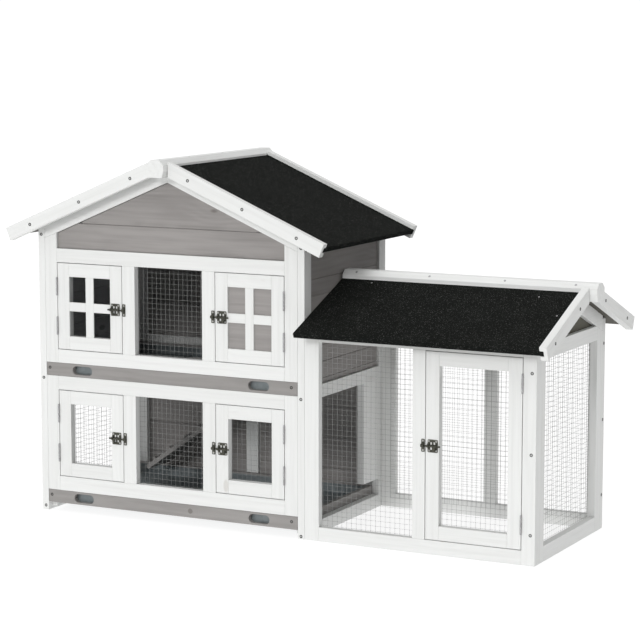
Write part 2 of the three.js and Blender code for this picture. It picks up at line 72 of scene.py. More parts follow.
@dataclass(frozen=True)
class Signal:
    """One output of a node, on which Python's operators add Math nodes."""

    recipe: "Recipe"
    socket: bpy.types.NodeSocket | None

    def _math(self, operation: str, first: object, second: object) -> "Signal":
        """Adds one Math node on two values."""
        return self.recipe.node(
            "ShaderNodeMath", "Value", {"operation": operation}, {"Value": first, "Value_001": second}
        )

    def __add__(self, other: object) -> "Signal":
        """self + other."""
        return self._math("ADD", self, other)

    def __radd__(self, other: object) -> "Signal":
        """other + self."""
        return self._math("ADD", other, self)

    def __sub__(self, other: object) -> "Signal":
        """self - other."""
        return self._math("SUBTRACT", self, other)

    def __rsub__(self, other: object) -> "Signal":
        """other - self."""
        return self._math("SUBTRACT", other, self)

    def __mul__(self, other: object) -> "Signal":
        """self * other."""
        return self._math("MULTIPLY", self, other)

    def __rmul__(self, other: object) -> "Signal":
        """other * self."""
        return self._math("MULTIPLY", other, self)

    def __gt__(self, other: object) -> "Signal":
        """1 where self is greater than other, or else 0."""
        return self._math("GREATER_THAN", self, other)

    def sine(self) -> "Signal":
        """The sine of this value."""
        return self._math("SINE", self, 0.0)

    def rise(self, low: float, high: float) -> "Signal":
        """A smooth step from 0 at low to 1 at high; a high below low makes it fall.

        Args:
            low: Where the step starts.
            high: Where it ends.

        Returns:
            The step as a value from 0 to 1.
        """
        return self.recipe.node(
            "ShaderNodeMapRange",
            "Result",
            {"interpolation_type": "SMOOTHSTEP"},
            {"Value": self, "From Min": low, "From Max": high},
        )

    def stretched(self, by: Sequence[float]) -> "Signal":
        """This vector times another, axis by axis."""
        return self.recipe.node(
            "ShaderNodeVectorMath",
            "Vector",
            {"operation": "MULTIPLY"},
            {"Vector": self, "Vector_001": tuple(by)},
        )

    def output(self, name: str) -> "Signal":
        """Another output of the same node."""
        return Signal(self.recipe, self.socket.node.outputs[name])


class Recipe:
    """The node tree of one finish, or of the sky, while it is being written."""

    def __init__(self, name: str, for_world: bool = False) -> None:
        """Starts a material, or a world, with an empty tree."""
        library = bpy.data.worlds if for_world else bpy.data.materials
        self.owner = library.new(name)
        self.owner.use_nodes = True
        self.tree = self.owner.node_tree
        self.tree.nodes.clear()

    def node(
        self,
        kind: str,
        output: str | None,
        settings: dict[str, object] | None = None,
        inputs: dict[str, object] | None = None,
    ) -> Signal:
        """Adds any node.

        Args:
            kind: The node's type.
            output: The name or identifier of the output to go on with, if it has any.
            settings: The node's own settings, set first; stops are a colour ramp's.
            inputs: Values or signals for its sockets, by name or identifier.

        Returns:
            The signal of that output.
        """
        made = self.tree.nodes.new(kind)
        for key, value in (settings or {}).items():
            if key == "stops":
                self._stops(made, value)
            else:
                setattr(made, key, value)
        for key, value in (inputs or {}).items():
            socket = self._socket(made.inputs, key)
            if isinstance(value, Signal):
                self.tree.links.new(value.socket, socket)
            else:
                socket.default_value = value
        return Signal(self, self._socket(made.outputs, output) if output else None)

    @staticmethod
    def _socket(sockets: Iterable[bpy.types.NodeSocket], key: str) -> bpy.types.NodeSocket:
        """The socket with this identifier, or else with this name."""
        named = {socket.name: socket for socket in reversed(list(sockets))}
        marked = {socket.identifier: socket for socket in sockets}
        return marked.get(key) or named[key]

    @staticmethod
    def _stops(made: bpy.types.Node, stops: Sequence[tuple[float, Colour]]) -> None:
        """Sets the stops of a colour ramp."""
        elements = made.color_ramp.elements
        while len(elements) < len(stops):
            elements.new(0.5)
        for element, (place, colour) in zip(elements, stops):
            element.position = place
            element.color = (*colour, 1.0)

    def grain(self) -> Signal:
        """Where a point lies in its timber: along the grain, across it and deep, in metres."""
        return self.node("ShaderNodeAttribute", "Vector", {"attribute_name": "grain"})

    def tone(self) -> Signal:
        """The timber's own shade, from 0 to 1."""
        return self.node("ShaderNodeAttribute", "Fac", {"attribute_name": "tone"})

    def noise(self, where: Signal, detail: float = 3.0, roughness: float = 0.55) -> Signal:
        """Cloudy noise from 0 to 1 with cells of unit size."""
        return self.node(
            "ShaderNodeTexNoise",
            "Fac",
            {"noise_dimensions": "3D"},
            {"Vector": where, "Scale": 1.0, "Detail": detail, "Roughness": roughness},
        )

    def cells(self, where: Signal) -> Signal:
        """The distance to the nearest of scattered points a unit apart."""
        return self.node(
            "ShaderNodeTexVoronoi", "Distance", {"feature": "F1"}, {"Vector": where, "Scale": 1.0}
        )

    def chance(self, cells: Signal, channel: str = "Red") -> Signal:
        """The cell's own random value, from one channel of its colour."""
        return self.node("ShaderNodeSeparateColor", channel, None, {"Color": cells.output("Color")})

    def mixed(self, factor: object, first: object, second: object) -> Signal:
        """A colour between two, the first at factor 0 and the second at factor 1."""
        full = [
            colour if isinstance(colour, Signal) else (*colour, 1.0) for colour in (first, second)
        ]
        return self.node(
            "ShaderNodeMix",
            "Result_Color",
            {"data_type": "RGBA"},
            {"Factor_Float": factor, "A_Color": full[0], "B_Color": full[1]},
        )

    def bump(self, height: Signal, distance: float, strength: float = 1.0) -> Signal:
        """A normal from a height between 0 and 1 that stands this many metres."""
        return self.node(
            "ShaderNodeBump",
            "Normal",
            None,
            {"Height": height, "Distance": distance, "Strength": strength},
        )

    def surface(self, **sockets: object) -> bpy.types.Material:
        """Ends the recipe with one Principled surface.

        Args:
            sockets: Its sockets, with _ for a space in their names.

        Returns:
            The finished material.
        """
        inputs = {key.replace("_", " "): value for key, value in sockets.items()}
        shader = self.node("ShaderNodeBsdfPrincipled", "BSDF", None, inputs)
        self.node("ShaderNodeOutputMaterial", None, None, {"Surface": shader})
        return self.owner


@dataclass(frozen=True)
class WoodFigure:
    """Softwood figure: streaks, growth rings and scattered knots that bend them."""

    rings_per_metre: float = 150.0
    knot_share: float = 0.72

    def draw(self, recipe: Recipe) -> tuple[Signal, Signal, Signal]:
        """Writes the figure into a recipe.

        Args:
            recipe: The recipe that takes the nodes.

        Returns:
            The streaks, the rings and the knots, each from 0 to 1.
        """
        grain = recipe.grain()
        across = recipe.node("ShaderNodeSeparateXYZ", "Y", None, {"Vector": grain})
        deep = across.output("Z")
        streaks = recipe.noise(grain.stretched((3.0, 95.0, 95.0)), 4.0, 0.6)
        warp = recipe.noise(grain.stretched((2.2, 14.0, 14.0)), 2.0)
        spots = recipe.cells(grain.stretched((5.0, 11.0, 11.0)))
        present = recipe.chance(spots) > self.knot_share
        swirl = spots.rise(0.5, 0.05) * present
        knots = spots.rise(0.11, 0.06) * present
        turns = (across + 0.6 * deep) * (self.rings_per_metre * math.tau)
        rings = (turns * 0.35 + warp * 26.0 + swirl * 9.0).sine() * 0.5 + 0.5
        return streaks, rings, knots


@dataclass(frozen=True)
class PaintedWood:
    """Satin paint over softwood, thin enough for the figure to show faintly."""

    colour: Colour = (0.77, 0.777, 0.767)
    shade: Colour = (0.68, 0.685, 0.672)
    knot: Colour = (0.42, 0.38, 0.33)

    def dress(self) -> bpy.types.Material:
        """Writes the material."""
        recipe = Recipe("white_paint")
        streaks, rings, knots = WoodFigure().draw(recipe)
        fine = recipe.noise(recipe.grain().stretched((22.0, 620.0, 620.0)), 2.0)
        figure = (streaks.rise(0.42, 0.72) * 0.55 + rings * 0.2) * 0.8 + recipe.tone() * 0.28
        paint = recipe.mixed(figure, self.colour, self.shade)
        spotted = recipe.mixed(knots * 0.34, paint, self.knot)
        height = streaks * 0.5 + rings * 0.22 + fine * 0.28
        return recipe.surface(
            Base_Color=spotted,
            Roughness=0.46 + 0.16 * fine,
            Specular_IOR_Level=0.35,
            Normal=recipe.bump(height, 0.00035, 0.7),
        )


@dataclass(frozen=True)
class StainedWood:
    """Matt stain that leaves the softwood's streaks, rings and knots in sight."""

    name: str
    colour: Colour
    shade: Colour
    knot: Colour = (0.075, 0.062, 0.052)

    def dress(self) -> bpy.types.Material:
        """Writes the material."""
        recipe = Recipe(self.name)
        streaks, rings, knots = WoodFigure(knot_share=0.5).draw(recipe)
        clouds = recipe.noise(recipe.grain().stretched((4.0, 16.0, 16.0)), 3.0)
        fine = recipe.noise(recipe.grain().stretched((16.0, 520.0, 520.0)), 2.0)
        figure = streaks.rise(0.35, 0.75) * 0.28 + rings * 0.12 + clouds.rise(0.35, 0.7) * 0.3
        stain = recipe.mixed(figure + recipe.tone() * 0.3, self.colour, self.shade)
        spotted = recipe.mixed(knots * 0.8, stain, self.knot)
        height = streaks * 0.5 + rings * 0.2 + fine * 0.3
        return recipe.surface(
            Base_Color=spotted,
            Roughness=0.62 + 0.18 * fine,
            Specular_IOR_Level=0.3,
            Normal=recipe.bump(height, 0.0005, 0.8),
        )


@dataclass(frozen=True)
class MineralFelt:
    """Black roofing felt under a coat of crushed mineral."""

    colour: Colour = (0.0035, 0.0042, 0.0036)
    granule: Colour = (0.013, 0.0145, 0.013)
    glint: Colour = (0.12, 0.12, 0.115)

    def dress(self) -> bpy.types.Material:
        """Writes the material."""
        recipe = Recipe("black_felt")
        where = recipe.grain()
        grit = recipe.cells(where.stretched((900.0, 900.0, 900.0)))
        shade = recipe.chance(grit)
        patches = recipe.noise(where.stretched((26.0, 26.0, 26.0)), 4.0, 0.65)
        body = recipe.mixed(shade * 0.7 + patches.rise(0.4, 0.75) * 0.3, self.colour, self.granule)
        speckled = recipe.mixed(shade.rise(0.955, 0.99), body, self.glint)
        height = grit.rise(0.7, 0.1) * 0.7 + patches * 0.3
        return recipe.surface(
            Base_Color=speckled,
            Roughness=1.0 - 0.1 * shade,
            Specular_IOR_Level=0.06,
            Normal=recipe.bump(height, 0.0006, 0.8),
        )


@dataclass(frozen=True)
class Steel:
    """Bare or coated steel with a clouded face, and rust or dirt in patches if it is old."""

    name: str
    colour: Colour
    stain: Colour
    metallic: float
    roughness: float
    patches: float = 0.0
    scale: float = 300.0

    def dress(self) -> bpy.types.Material:
        """Writes the material."""
        recipe = Recipe(self.name)
        where = recipe.grain()
        clouds = recipe.noise(where.stretched((self.scale,) * 3), 4.0, 0.6)
        blotches = recipe.noise(where.stretched((self.scale * 0.3,) * 3), 3.0, 0.7)
        worn = blotches.rise(0.45, 0.65) * self.patches
        tinted = recipe.mixed(clouds * 0.35 + worn * 0.65, self.colour, self.stain)
        return recipe.surface(
            Base_Color=tinted,
            Metallic=self.metallic - worn * 0.4,
            Roughness=self.roughness + clouds * 0.12 + worn * 0.2,
            Normal=recipe.bump(clouds, 0.00015, 0.6),
        )


@dataclass(frozen=True)
class SpangledZinc:
    """Blue-grey zinc sheet whose crystals show as faint angular patches."""

    colour: Colour = (0.17, 0.193, 0.2)
    crystal: Colour = (0.25, 0.275, 0.285)

    def dress(self) -> bpy.types.Material:
        """Writes the material."""
        recipe = Recipe("tray_sheet")
        where = recipe.grain()
        spangle = recipe.cells(where.stretched((85.0, 85.0, 85.0)))
        shade = recipe.chance(spangle, "Green")
        scuffs = recipe.noise(where.stretched((9.0, 240.0, 240.0)), 3.0)
        return recipe.surface(
            Base_Color=recipe.mixed(shade * 0.6 + scuffs * 0.3, self.colour, self.crystal),
            Metallic=0.55,
            Roughness=0.36 + 0.16 * shade + 0.08 * scuffs,
            Normal=recipe.bump(scuffs, 0.0001, 0.5),
        )


@dataclass(frozen=True)
class ClearAcrylic:
    """Clear acrylic sheet with fine handling scratches."""

    colour: Colour = (0.02, 0.022, 0.024)
    alpha: float = 0.14

    def dress(self) -> bpy.types.Material:
        """Writes the material."""
        recipe = Recipe("clear_acrylic")
        scratches = recipe.noise(recipe.grain().stretched((40.0, 900.0, 900.0)), 2.0)
        return recipe.surface(
            Base_Color=recipe.mixed(scratches.rise(0.6, 0.8), self.colour, (0.3, 0.33, 0.35)),
            Roughness=0.05 + 0.1 * scratches.rise(0.6, 0.8),
            Alpha=self.alpha + 0.05 * scratches.rise(0.62, 0.8),
            IOR=1.49,
            Specular_IOR_Level=0.3,
        )


@dataclass(frozen=True)
class Paper:
    """The matt pale paper of the studio floor."""

    colour: Colour = (0.24, 0.24, 0.24)
    glow: float = 0.84

    def dress(self) -> bpy.types.Material:
        """Writes the material."""
        return Recipe("floor_paper").surface(
            Base_Color=(*self.colour, 1.0),
            Roughness=0.95,
            Specular_IOR_Level=0.0,
            Emission_Color=WHITE,
            Emission_Strength=self.glow,
        )


class Finish(Enum):
    """The finishes of the hutch: the slot of each, and the recipe that dresses it."""

    PAINT = ("white_paint", PaintedWood())
    BOARDS = ("grey_stain", StainedWood("board_stain", (0.345, 0.328, 0.318), (0.215, 0.203, 0.196)))
    TRAY = ("grey_stain", StainedWood("tray_stain", (0.335, 0.322, 0.312), (0.225, 0.215, 0.207)))
    # The gable infill's stain is far darker than the other boards: painted shade, standing for the shade
    # under the run's roof.
    GABLE = ("grey_stain", StainedWood("gable_painted_shade_stain", (0.13, 0.126, 0.1), (0.09, 0.086, 0.067)))
    PLUG = ("grey_stain", StainedWood("plug_stain", (0.23, 0.215, 0.205), (0.15, 0.14, 0.13)))
    DECKING = ("black_felt", StainedWood("roof_boarding", (0.10, 0.095, 0.08), (0.05, 0.047, 0.038)))
    FELT = ("black_felt", MineralFelt())
    WIRE = (
        "galvanised_wire",
        Steel("galvanised_wire", (0.36, 0.365, 0.36), (0.24, 0.245, 0.24), 0.6, 0.42, 0.3),
    )
    SHEET = ("tray_sheet", SpangledZinc())
    ACRYLIC = ("clear_acrylic", ClearAcrylic())
    HINGE = (
        "hinge_steel",
        Steel("hinge_steel", (0.45, 0.45, 0.46), (0.25, 0.24, 0.23), 0.9, 0.32, 0.3),
    )
    BOLT = (
        "bolt_steel",
        Steel("bolt_steel", (0.10, 0.10, 0.082), (0.028, 0.027, 0.021), 0.9, 0.3, 0.8),
    )
    PIN = (
        "hinge_steel",
        Steel("bright_screw_steel", (0.62, 0.62, 0.60), (0.3, 0.29, 0.27), 0.9, 0.28, 0.3),
    )
    SCREW = (
        "hinge_steel",
        Steel("screw_steel", (0.05, 0.049, 0.047), (0.02, 0.019, 0.018), 0.35, 0.5, 0.5),
    )

    @property
    def slot(self) -> str:
        """The record's slot."""
        return self.value[0]

    def dress(self) -> bpy.types.Material:
        """Writes the material."""
        return self.value[1].dress()


# ---- Mesh making ----------------------------------------------------------------------------


@dataclass(frozen=True)
class Placement:
    """Where an outline is drawn: a corner, and the across, up and deep directions, in site mm."""

    across: Vector
    up: Vector
    deep: Vector
    corner: Vector = field(default_factory=lambda: Vector((0.0, 0.0, 0.0)))

    def point(self, u: float, v: float, w: float) -> Vector:
        """The site point u across, v up and w deep."""
        return self.corner + self.across * u + self.up * v + self.deep * w

    def left_handed(self) -> bool:
        """Whether across, up and deep turn the other way than X, Y and Z."""
        return self.across.cross(self.up).dot(self.deep) < 0.0

    def moved(self, x: float, y: float, z: float) -> "Placement":
        """The same directions from another corner."""
        return Placement(self.across, self.up, self.deep, self.corner + Vector((x, y, z)))


X, Y, Z = Vector((1.0, 0.0, 0.0)), Vector((0.0, 1.0, 0.0)), Vector((0.0, 0.0, 1.0))
FRONT = Placement(X, Z, Y)
SIDE = Placement(Y, Z, X)
LEVEL = Placement(X, Y, Z)


class Grain(Enum):
    """Which way the grain of a timber runs in the placement that it is drawn in."""

    ACROSS = (0, 1, 2)
    UP = (1, 0, 2)
    DEEP = (2, 0, 1)


def rectangle(u0: float, v0: float, u1: float, v1: float) -> list[Flat]:
    """The outline of a rectangle, counter-clockwise."""
    return [(u0, v0), (u1, v0), (u1, v1), (u0, v1)]


def circle(u: float, v: float, radius: float, sides: int = 20) -> list[Flat]:
    """The outline of a circle, counter-clockwise."""
    angles = [math.tau * i / sides for i in range(sides)]
    return [(u + radius * math.cos(a), v + radius * math.sin(a)) for a in angles]


def stadium(u: float, v: float, width: float, height: float, steps: int = 8) -> list[Flat]:
    """The outline of a slot with round ends, counter-clockwise."""
    end = height / 2
    straight = width / 2 - end
    angles = [math.pi * i / steps - math.pi / 2 for i in range(steps + 1)]
    right = [(straight + end * math.cos(a), end * math.sin(a)) for a in angles]
    return [(u + p, v + q) for p, q in right + [(-p, -q) for p, q in right]]


def mirrored(outline: Sequence[Flat], side: float = -1.0) -> list[Flat]:
    """An outline, or for side -1 its mirror image, still counter-clockwise."""
    return list(outline) if side > 0 else [(-u, v) for u, v in reversed(outline)]


def edge_normals(outline: Sequence[Flat]) -> list[Vector]:
    """The inward unit normal of the edge that ends at each point of an outline."""
    found = []
    for before, here in zip([outline[-1], *outline[:-1]], outline):
        run = (Vector(here) - Vector(before)).normalized()
        found.append(Vector((-run.y, run.x)))
    return found


def inset(outline: Sequence[Flat], by: float) -> list[Flat]:
    """Moves each edge of an outline inwards by the same distance."""
    normals = edge_normals(outline)
    moved = []
    for i, here in enumerate(outline):
        first, second = normals[i], normals[(i + 1) % len(outline)]
        shift = (first + second) * (by / max(0.3, 1.0 + first.dot(second)))
        moved.append((here[0] + shift.x, here[1] + shift.y))
    return moved


def tube(rings: int, sides: int) -> list[list[int]]:
    """The faces of a closed tube whose points come ring by ring."""
    faces = [list(reversed(range(sides)))]
    for ring in range(rings - 1):
        for i in range(sides):
            a, b = ring * sides + i, ring * sides + (i + 1) % sides
            faces.append([a, b, b + sides, a + sides])
    faces.append([(rings - 1) * sides + i for i in range(sides)])
    return faces


def eased(outline: Sequence[Flat], radius: float) -> list[Flat]:
    """Rounds the corners of an outline with two short edges each."""
    rounded: list[Flat] = []
    count = len(outline)
    for i, point in enumerate(outline):
        here, before, after = Vector(point), Vector(outline[i - 1]), Vector(outline[(i + 1) % count])
        back, on = before - here, after - here
        turn = math.pi - back.angle(on)
        if turn < 0.35:
            rounded.append(point)
            continue
        reach = min(radius * math.tan(turn / 2), back.length * 0.4, on.length * 0.4)
        start, end = here + back.normalized() * reach, here + on.normalized() * reach
        rounded += [tuple(start), tuple((start + end) * 0.25 + here * 0.5), tuple(end)]
    return rounded


def clipped(outline: Sequence[Flat], level: float, keep_above: bool) -> list[Flat]:
    """The part of an outline above or below a level line.

    Args:
        outline: The outline.
        level: The height of the line.
        keep_above: Whether the part above it is kept.

    Returns:
        The outline of that part.
    """
    sign = 1.0 if keep_above else -1.0
    kept: list[Flat] = []
    for (u0, v0), (u1, v1) in zip([outline[-1], *outline[:-1]], outline):
        inside0, inside1 = sign * (v0 - level) >= 0.0, sign * (v1 - level) >= 0.0
        if inside0 != inside1:
            share = (level - v0) / (v1 - v0)
            kept.append((u0 + (u1 - u0) * share, level))
        if inside1:
            kept.append((u1, v1))
    return kept


class Piece:
    """Gathers the timbers or parts of one piece, and makes them one mesh object."""

    def __init__(self, name: str, node: str | None = None) -> None:
        """Starts an empty piece; its name seeds the shades of its timbers.

        Args:
            name: The name of its mesh object.
            node: The CAD node that it stands for, if any.
        """
        self.name, self.node = name, node
        self.chance = Random(name)
        self.points: list[Vector] = []
        self.faces: list[tuple[int, ...]] = []
        self.smooth: list[bool] = []
        self.grain: list[Vector] = []
        self.tone: list[float] = []

    @staticmethod
    def of(node: str) -> "Piece":
        """Starts the piece that stands for one CAD node."""
        return Piece(f"{node}_finished", node)

    def _add(
        self,
        points: Sequence[Vector],
        flats: Sequence[Sequence[float]],
        faces: Sequence[Sequence[int]],
        flip: bool,
        smooth: bool,
    ) -> None:
        """Adds one closed shell with its own place in the wood and its own shade."""
        base = len(self.points)
        offset = Vector([self.chance.uniform(0.0, 30.0) for _ in range(3)])
        shade = self.chance.random()
        self.points += points
        self.grain += [Vector(flat) * MM + offset for flat in flats]
        self.tone += [shade] * len(points)
        for face in faces:
            order = reversed(face) if flip else face
            self.faces.append(tuple(base + i for i in order))
            self.smooth.append(smooth and len(face) == 4)

    def prism(
        self,
        place: Placement,
        outline: Sequence[Flat],
        low: float,
        high: float,
        grain: Grain = Grain.UP,
        ease: float = 0.7,
        holes: Sequence[Sequence[Flat]] = (),
        skew: float = 0.0,
        smooth: bool = False,
    ) -> "Piece":
        """Adds a solid between two depths, with its edges eased.

        Args:
            place: Where the outline is drawn.
            outline: The outline, counter-clockwise.
            low: The depth of its near face.
            high: The depth of its far face.
            grain: The way the grain runs.
            ease: The radius of its eased edges.
            holes: The outlines of holes through it, counter-clockwise.
            skew: How much deeper the near face lies for each millimetre up.
            smooth: Whether its sides are shaded as round.

        Returns:
            The piece itself.
        """
        loops = [list(outline), *[list(reversed(hole)) for hole in holes]]
        if ease and not smooth:
            loops = [eased(loop, 1.5 * ease) for loop in loops]
        start = [(0.0, ease), (0.3 * ease, 0.3 * ease), (ease, 0.0)] if ease else [(0.0, 0.0)]
        depths = [(low + d, i) for d, i in start] + [(high - d, i) for d, i in reversed(start)]
        points: list[Vector] = []
        flats: list[list[float]] = []
        size = sum(len(loop) for loop in loops)
        for number, (depth, by) in enumerate(depths):
            tilt = skew if number < len(start) else 0.0
            for u, v in (point for loop in loops for point in inset(loop, by)):
                w = depth + tilt * v
                points.append(place.point(u, v, w))
                flats.append([(u, v, w)[axis] for axis in grain.value])
        faces: list[list[int]] = []
        base = 0
        for loop in loops:
            count = len(loop)
            for ring in range(len(depths) - 1):
                for i in range(count):
                    a, b = base + i, base + (i + 1) % count
                    low_ring, high_ring = ring * size, (ring + 1) * size
                    faces.append([a + low_ring, b + low_ring, b + high_ring, a + high_ring])
            base += count
        for face in self._cap([inset(loop, ease) for loop in loops]):
            faces.append(list(reversed(face)))
            faces.append([i + (len(depths) - 1) * size for i in face])
        self._add(points, flats, faces, place.left_handed(), smooth)
        return self

    @staticmethod
    def _cap(loops: Sequence[Sequence[Flat]]) -> list[list[int]]:
        """The faces, counter-clockwise, that close an end with these loops."""
        if len(loops) == 1:
            return [list(range(len(loops[0])))]
        flat = [Vector((u, v, 0.0)) for loop in loops for u, v in loop]
        faces = []
        for a, b, c in tessellate_polygon([[Vector((u, v, 0.0)) for u, v in loop] for loop in loops]):
            turn = (flat[b] - flat[a]).cross(flat[c] - flat[a]).z
            faces.append([a, b, c] if turn > 0.0 else [a, c, b])
        return faces

    def stick(
        self,
        place: Placement,
        across: Flat,
        up: Flat,
        deep: Flat,
        grain: Grain = Grain.UP,
        ease: float = 0.7,
    ) -> "Piece":
        """Adds a squared timber from its three extents; the length is shortened by the seams."""
        along = grain.value[0]
        spans = [list(across), list(up), list(deep)]
        spans[along] = [spans[along][0] + SEAM, spans[along][1] - SEAM]
        outline = rectangle(spans[0][0], spans[1][0], spans[0][1], spans[1][1])
        return self.prism(place, outline, spans[2][0], spans[2][1], grain, ease)

    def turned(
        self, place: Placement, profile: Sequence[Flat], sides: int = 16, smooth: bool = True
    ) -> "Piece":
        """Adds a round part turned about a placement's deep axis.

        Args:
            place: Its corner is on the axis.
            profile: Radius and depth of each ring, from the near end to the far end.
            sides: The number of sides.
            smooth: Whether it is shaded as round.

        Returns:
            The piece itself.
        """
        points, flats = [], []
        for radius, depth in profile:
            for u, v in circle(0.0, 0.0, radius, sides):
                points.append(place.point(u, v, depth))
                flats.append([depth, u, v])
        self._add(points, flats, tube(len(profile), sides), place.left_handed(), smooth)
        return self

    def wire(self, path: Sequence[Vector], radius: float, sides: int = 6) -> "Piece":
        """Adds a nearly straight wire through some points."""
        along = (path[-1] - path[0]).normalized()
        across = along.orthogonal().normalized()
        up = along.cross(across)
        points, flats = [], []
        for centre in path:
            for u, v in circle(0.0, 0.0, radius, sides):
                points.append(centre + across * u + up * v)
                flats.append([(centre - path[0]).length, u, v])
        self._add(points, flats, tube(len(path), sides), False, True)
        return self

    def made(self, shop: "Workshop", finish: Finish, body: str = "house") -> "Piece":
        """Makes the mesh object, dresses it and lets it ride.

        Args:
            shop: Holds the materials.
            finish: Its finish.
            body: The body that it rides on.

        Returns:
            The piece itself.
        """
        mesh = bpy.data.meshes.new(self.name)
        mesh.from_pydata([SITE + point * MM for point in self.points], [], self.faces)
        grain = mesh.attributes.new("grain", "FLOAT_VECTOR", "POINT")
        grain.data.foreach_set("vector", [value for point in self.grain for value in point])
        tone = mesh.attributes.new("tone", "FLOAT", "POINT")
        tone.data.foreach_set("value", self.tone)
        mesh.polygons.foreach_set("use_smooth", self.smooth)
        mesh.materials.append(shop.materials[finish])
        obj = bpy.data.objects.new(self.name, mesh)
        bpy.context.scene.collection.objects.link(obj)
        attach(obj, body)
        if self.node:
            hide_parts(self.node)
        finish.slot
        shop.count += 1
        LOG.info("%s: %d faces on %s", self.name, len(self.faces), body)
        return self


@dataclass
class Workshop:
    """The materials in use, and the number of pieces made so far."""

    materials: dict[Finish, bpy.types.Material]
    count: int = 0


# ---- Parts used all over the hutch ----------------------------------------------------------


@dataclass(frozen=True)
class WeldedWire:
    """Welded wire of a square pitch, cut to a panel."""

    pitch: float = 13.5
    radius: float = 0.33
    wobble: float = 0.14

    def fill(self, piece: Piece, place: Placement, low: Flat, high: Flat, deep: float) -> None:
        """Adds the wires of one panel.

        Args:
            piece: The piece that takes them.
            place: Where the panel is drawn.
            low: The panel's lowest corner.
            high: Its highest corner.
            deep: The depth of its near face.
        """
        for way in (0, 1):
            span, length = high[way] - low[way], high[1 - way] - low[1 - way]
            count = max(2, round(span / self.pitch))
            steps = max(2, round(length / (3 * self.pitch)))
            layer = deep + self.radius + way * 1.7 * self.radius
            for i in range(count + 1):
                offset = low[way] + self.radius + (span - 2 * self.radius) * i / count
                path = []
                for k in range(steps + 1):
                    along = low[1 - way] + length * k / steps
                    edge = i in (0, count) or k in (0, steps)
                    sway = 0.0 if edge else piece.chance.uniform(-self.wobble, self.wobble)
                    spot = (offset + sway, along) if way == 0 else (along, offset + sway)
                    path.append(place.point(*spot, layer))
                piece.wire(path, self.radius)


@dataclass(frozen=True)
class Boarding:
    """Tongued boards laid level, with a V between each two."""

    thickness: float = 8.0
    groove: float = 2.0

    def lay(
        self, piece: Piece, place: Placement, outline: Sequence[Flat], seams: Sequence[float], deep: float
    ) -> None:
        """Adds the boards that fill an outline.

        Args:
            piece: The piece that takes them.
            place: Where the outline is drawn.
            outline: The outline of the whole panel.
            seams: The heights of the joints, from the lowest.
            deep: The depth of the near face.
        """
        heights = [v for _, v in outline]
        edges = [min(heights) - 1.0, *seams, max(heights) + 1.0]
        for low, high in zip(edges, edges[1:]):
            board = clipped(clipped(outline, low + SEAM, True), high - SEAM, False)
            if len(board) > 2:
                piece.prism(place, board, deep, deep + self.thickness, Grain.ACROSS, self.groove)


@dataclass(frozen=True)
class Screw:
    """A countersunk screw with a cross recess."""

    radius: float = 3.6
    head: float = 0.5

    def drive(self, piece: Piece, place: Placement, u: float, v: float, face: float) -> None:
        """Adds one screw head.

        Args:
            piece: The piece that takes it.
            place: Deep points into the timber.
            u: Its place across.
            v: Its place up.
            face: The depth of the timber's face.
        """
        arm, wide = self.radius * 0.62, self.radius * 0.16
        cross = [
            (arm, -wide), (arm, wide), (wide, wide), (wide, arm), (-wide, arm), (-wide, wide),
            (-arm, wide), (-arm, -wide), (-wide, -wide), (-wide, -arm), (wide, -arm), (wide, -wide),
        ]
        rim = circle(u, v, self.radius, 16)
        recess = [(u + p, v + q) for p, q in cross]
        top = face - self.head
        piece.prism(place, rim, top, top + 0.7, Grain.UP, 0.15, [recess], smooth=True)
        piece.prism(place, circle(u, v, self.radius * 0.9, 12), top + 0.72, face + 2.0, ease=0.0)


@dataclass(frozen=True)
class Nail:
    """A small flat nail head."""

    radius: float = 2.2

    def drive(self, piece: Piece, place: Placement, u: float, v: float, face: float) -> None:
        """Adds one nail head; deep points into the timber."""
        spot = Placement(place.across, place.up, place.deep, place.point(u, v, 0.0))
        profile = [(self.radius * 0.7, face - 0.5), (self.radius, face - 0.25), (self.radius, face + 1.0)]
        piece.turned(spot, profile, 12)


# ---- Roofs ----------------------------------------------------------------------------------


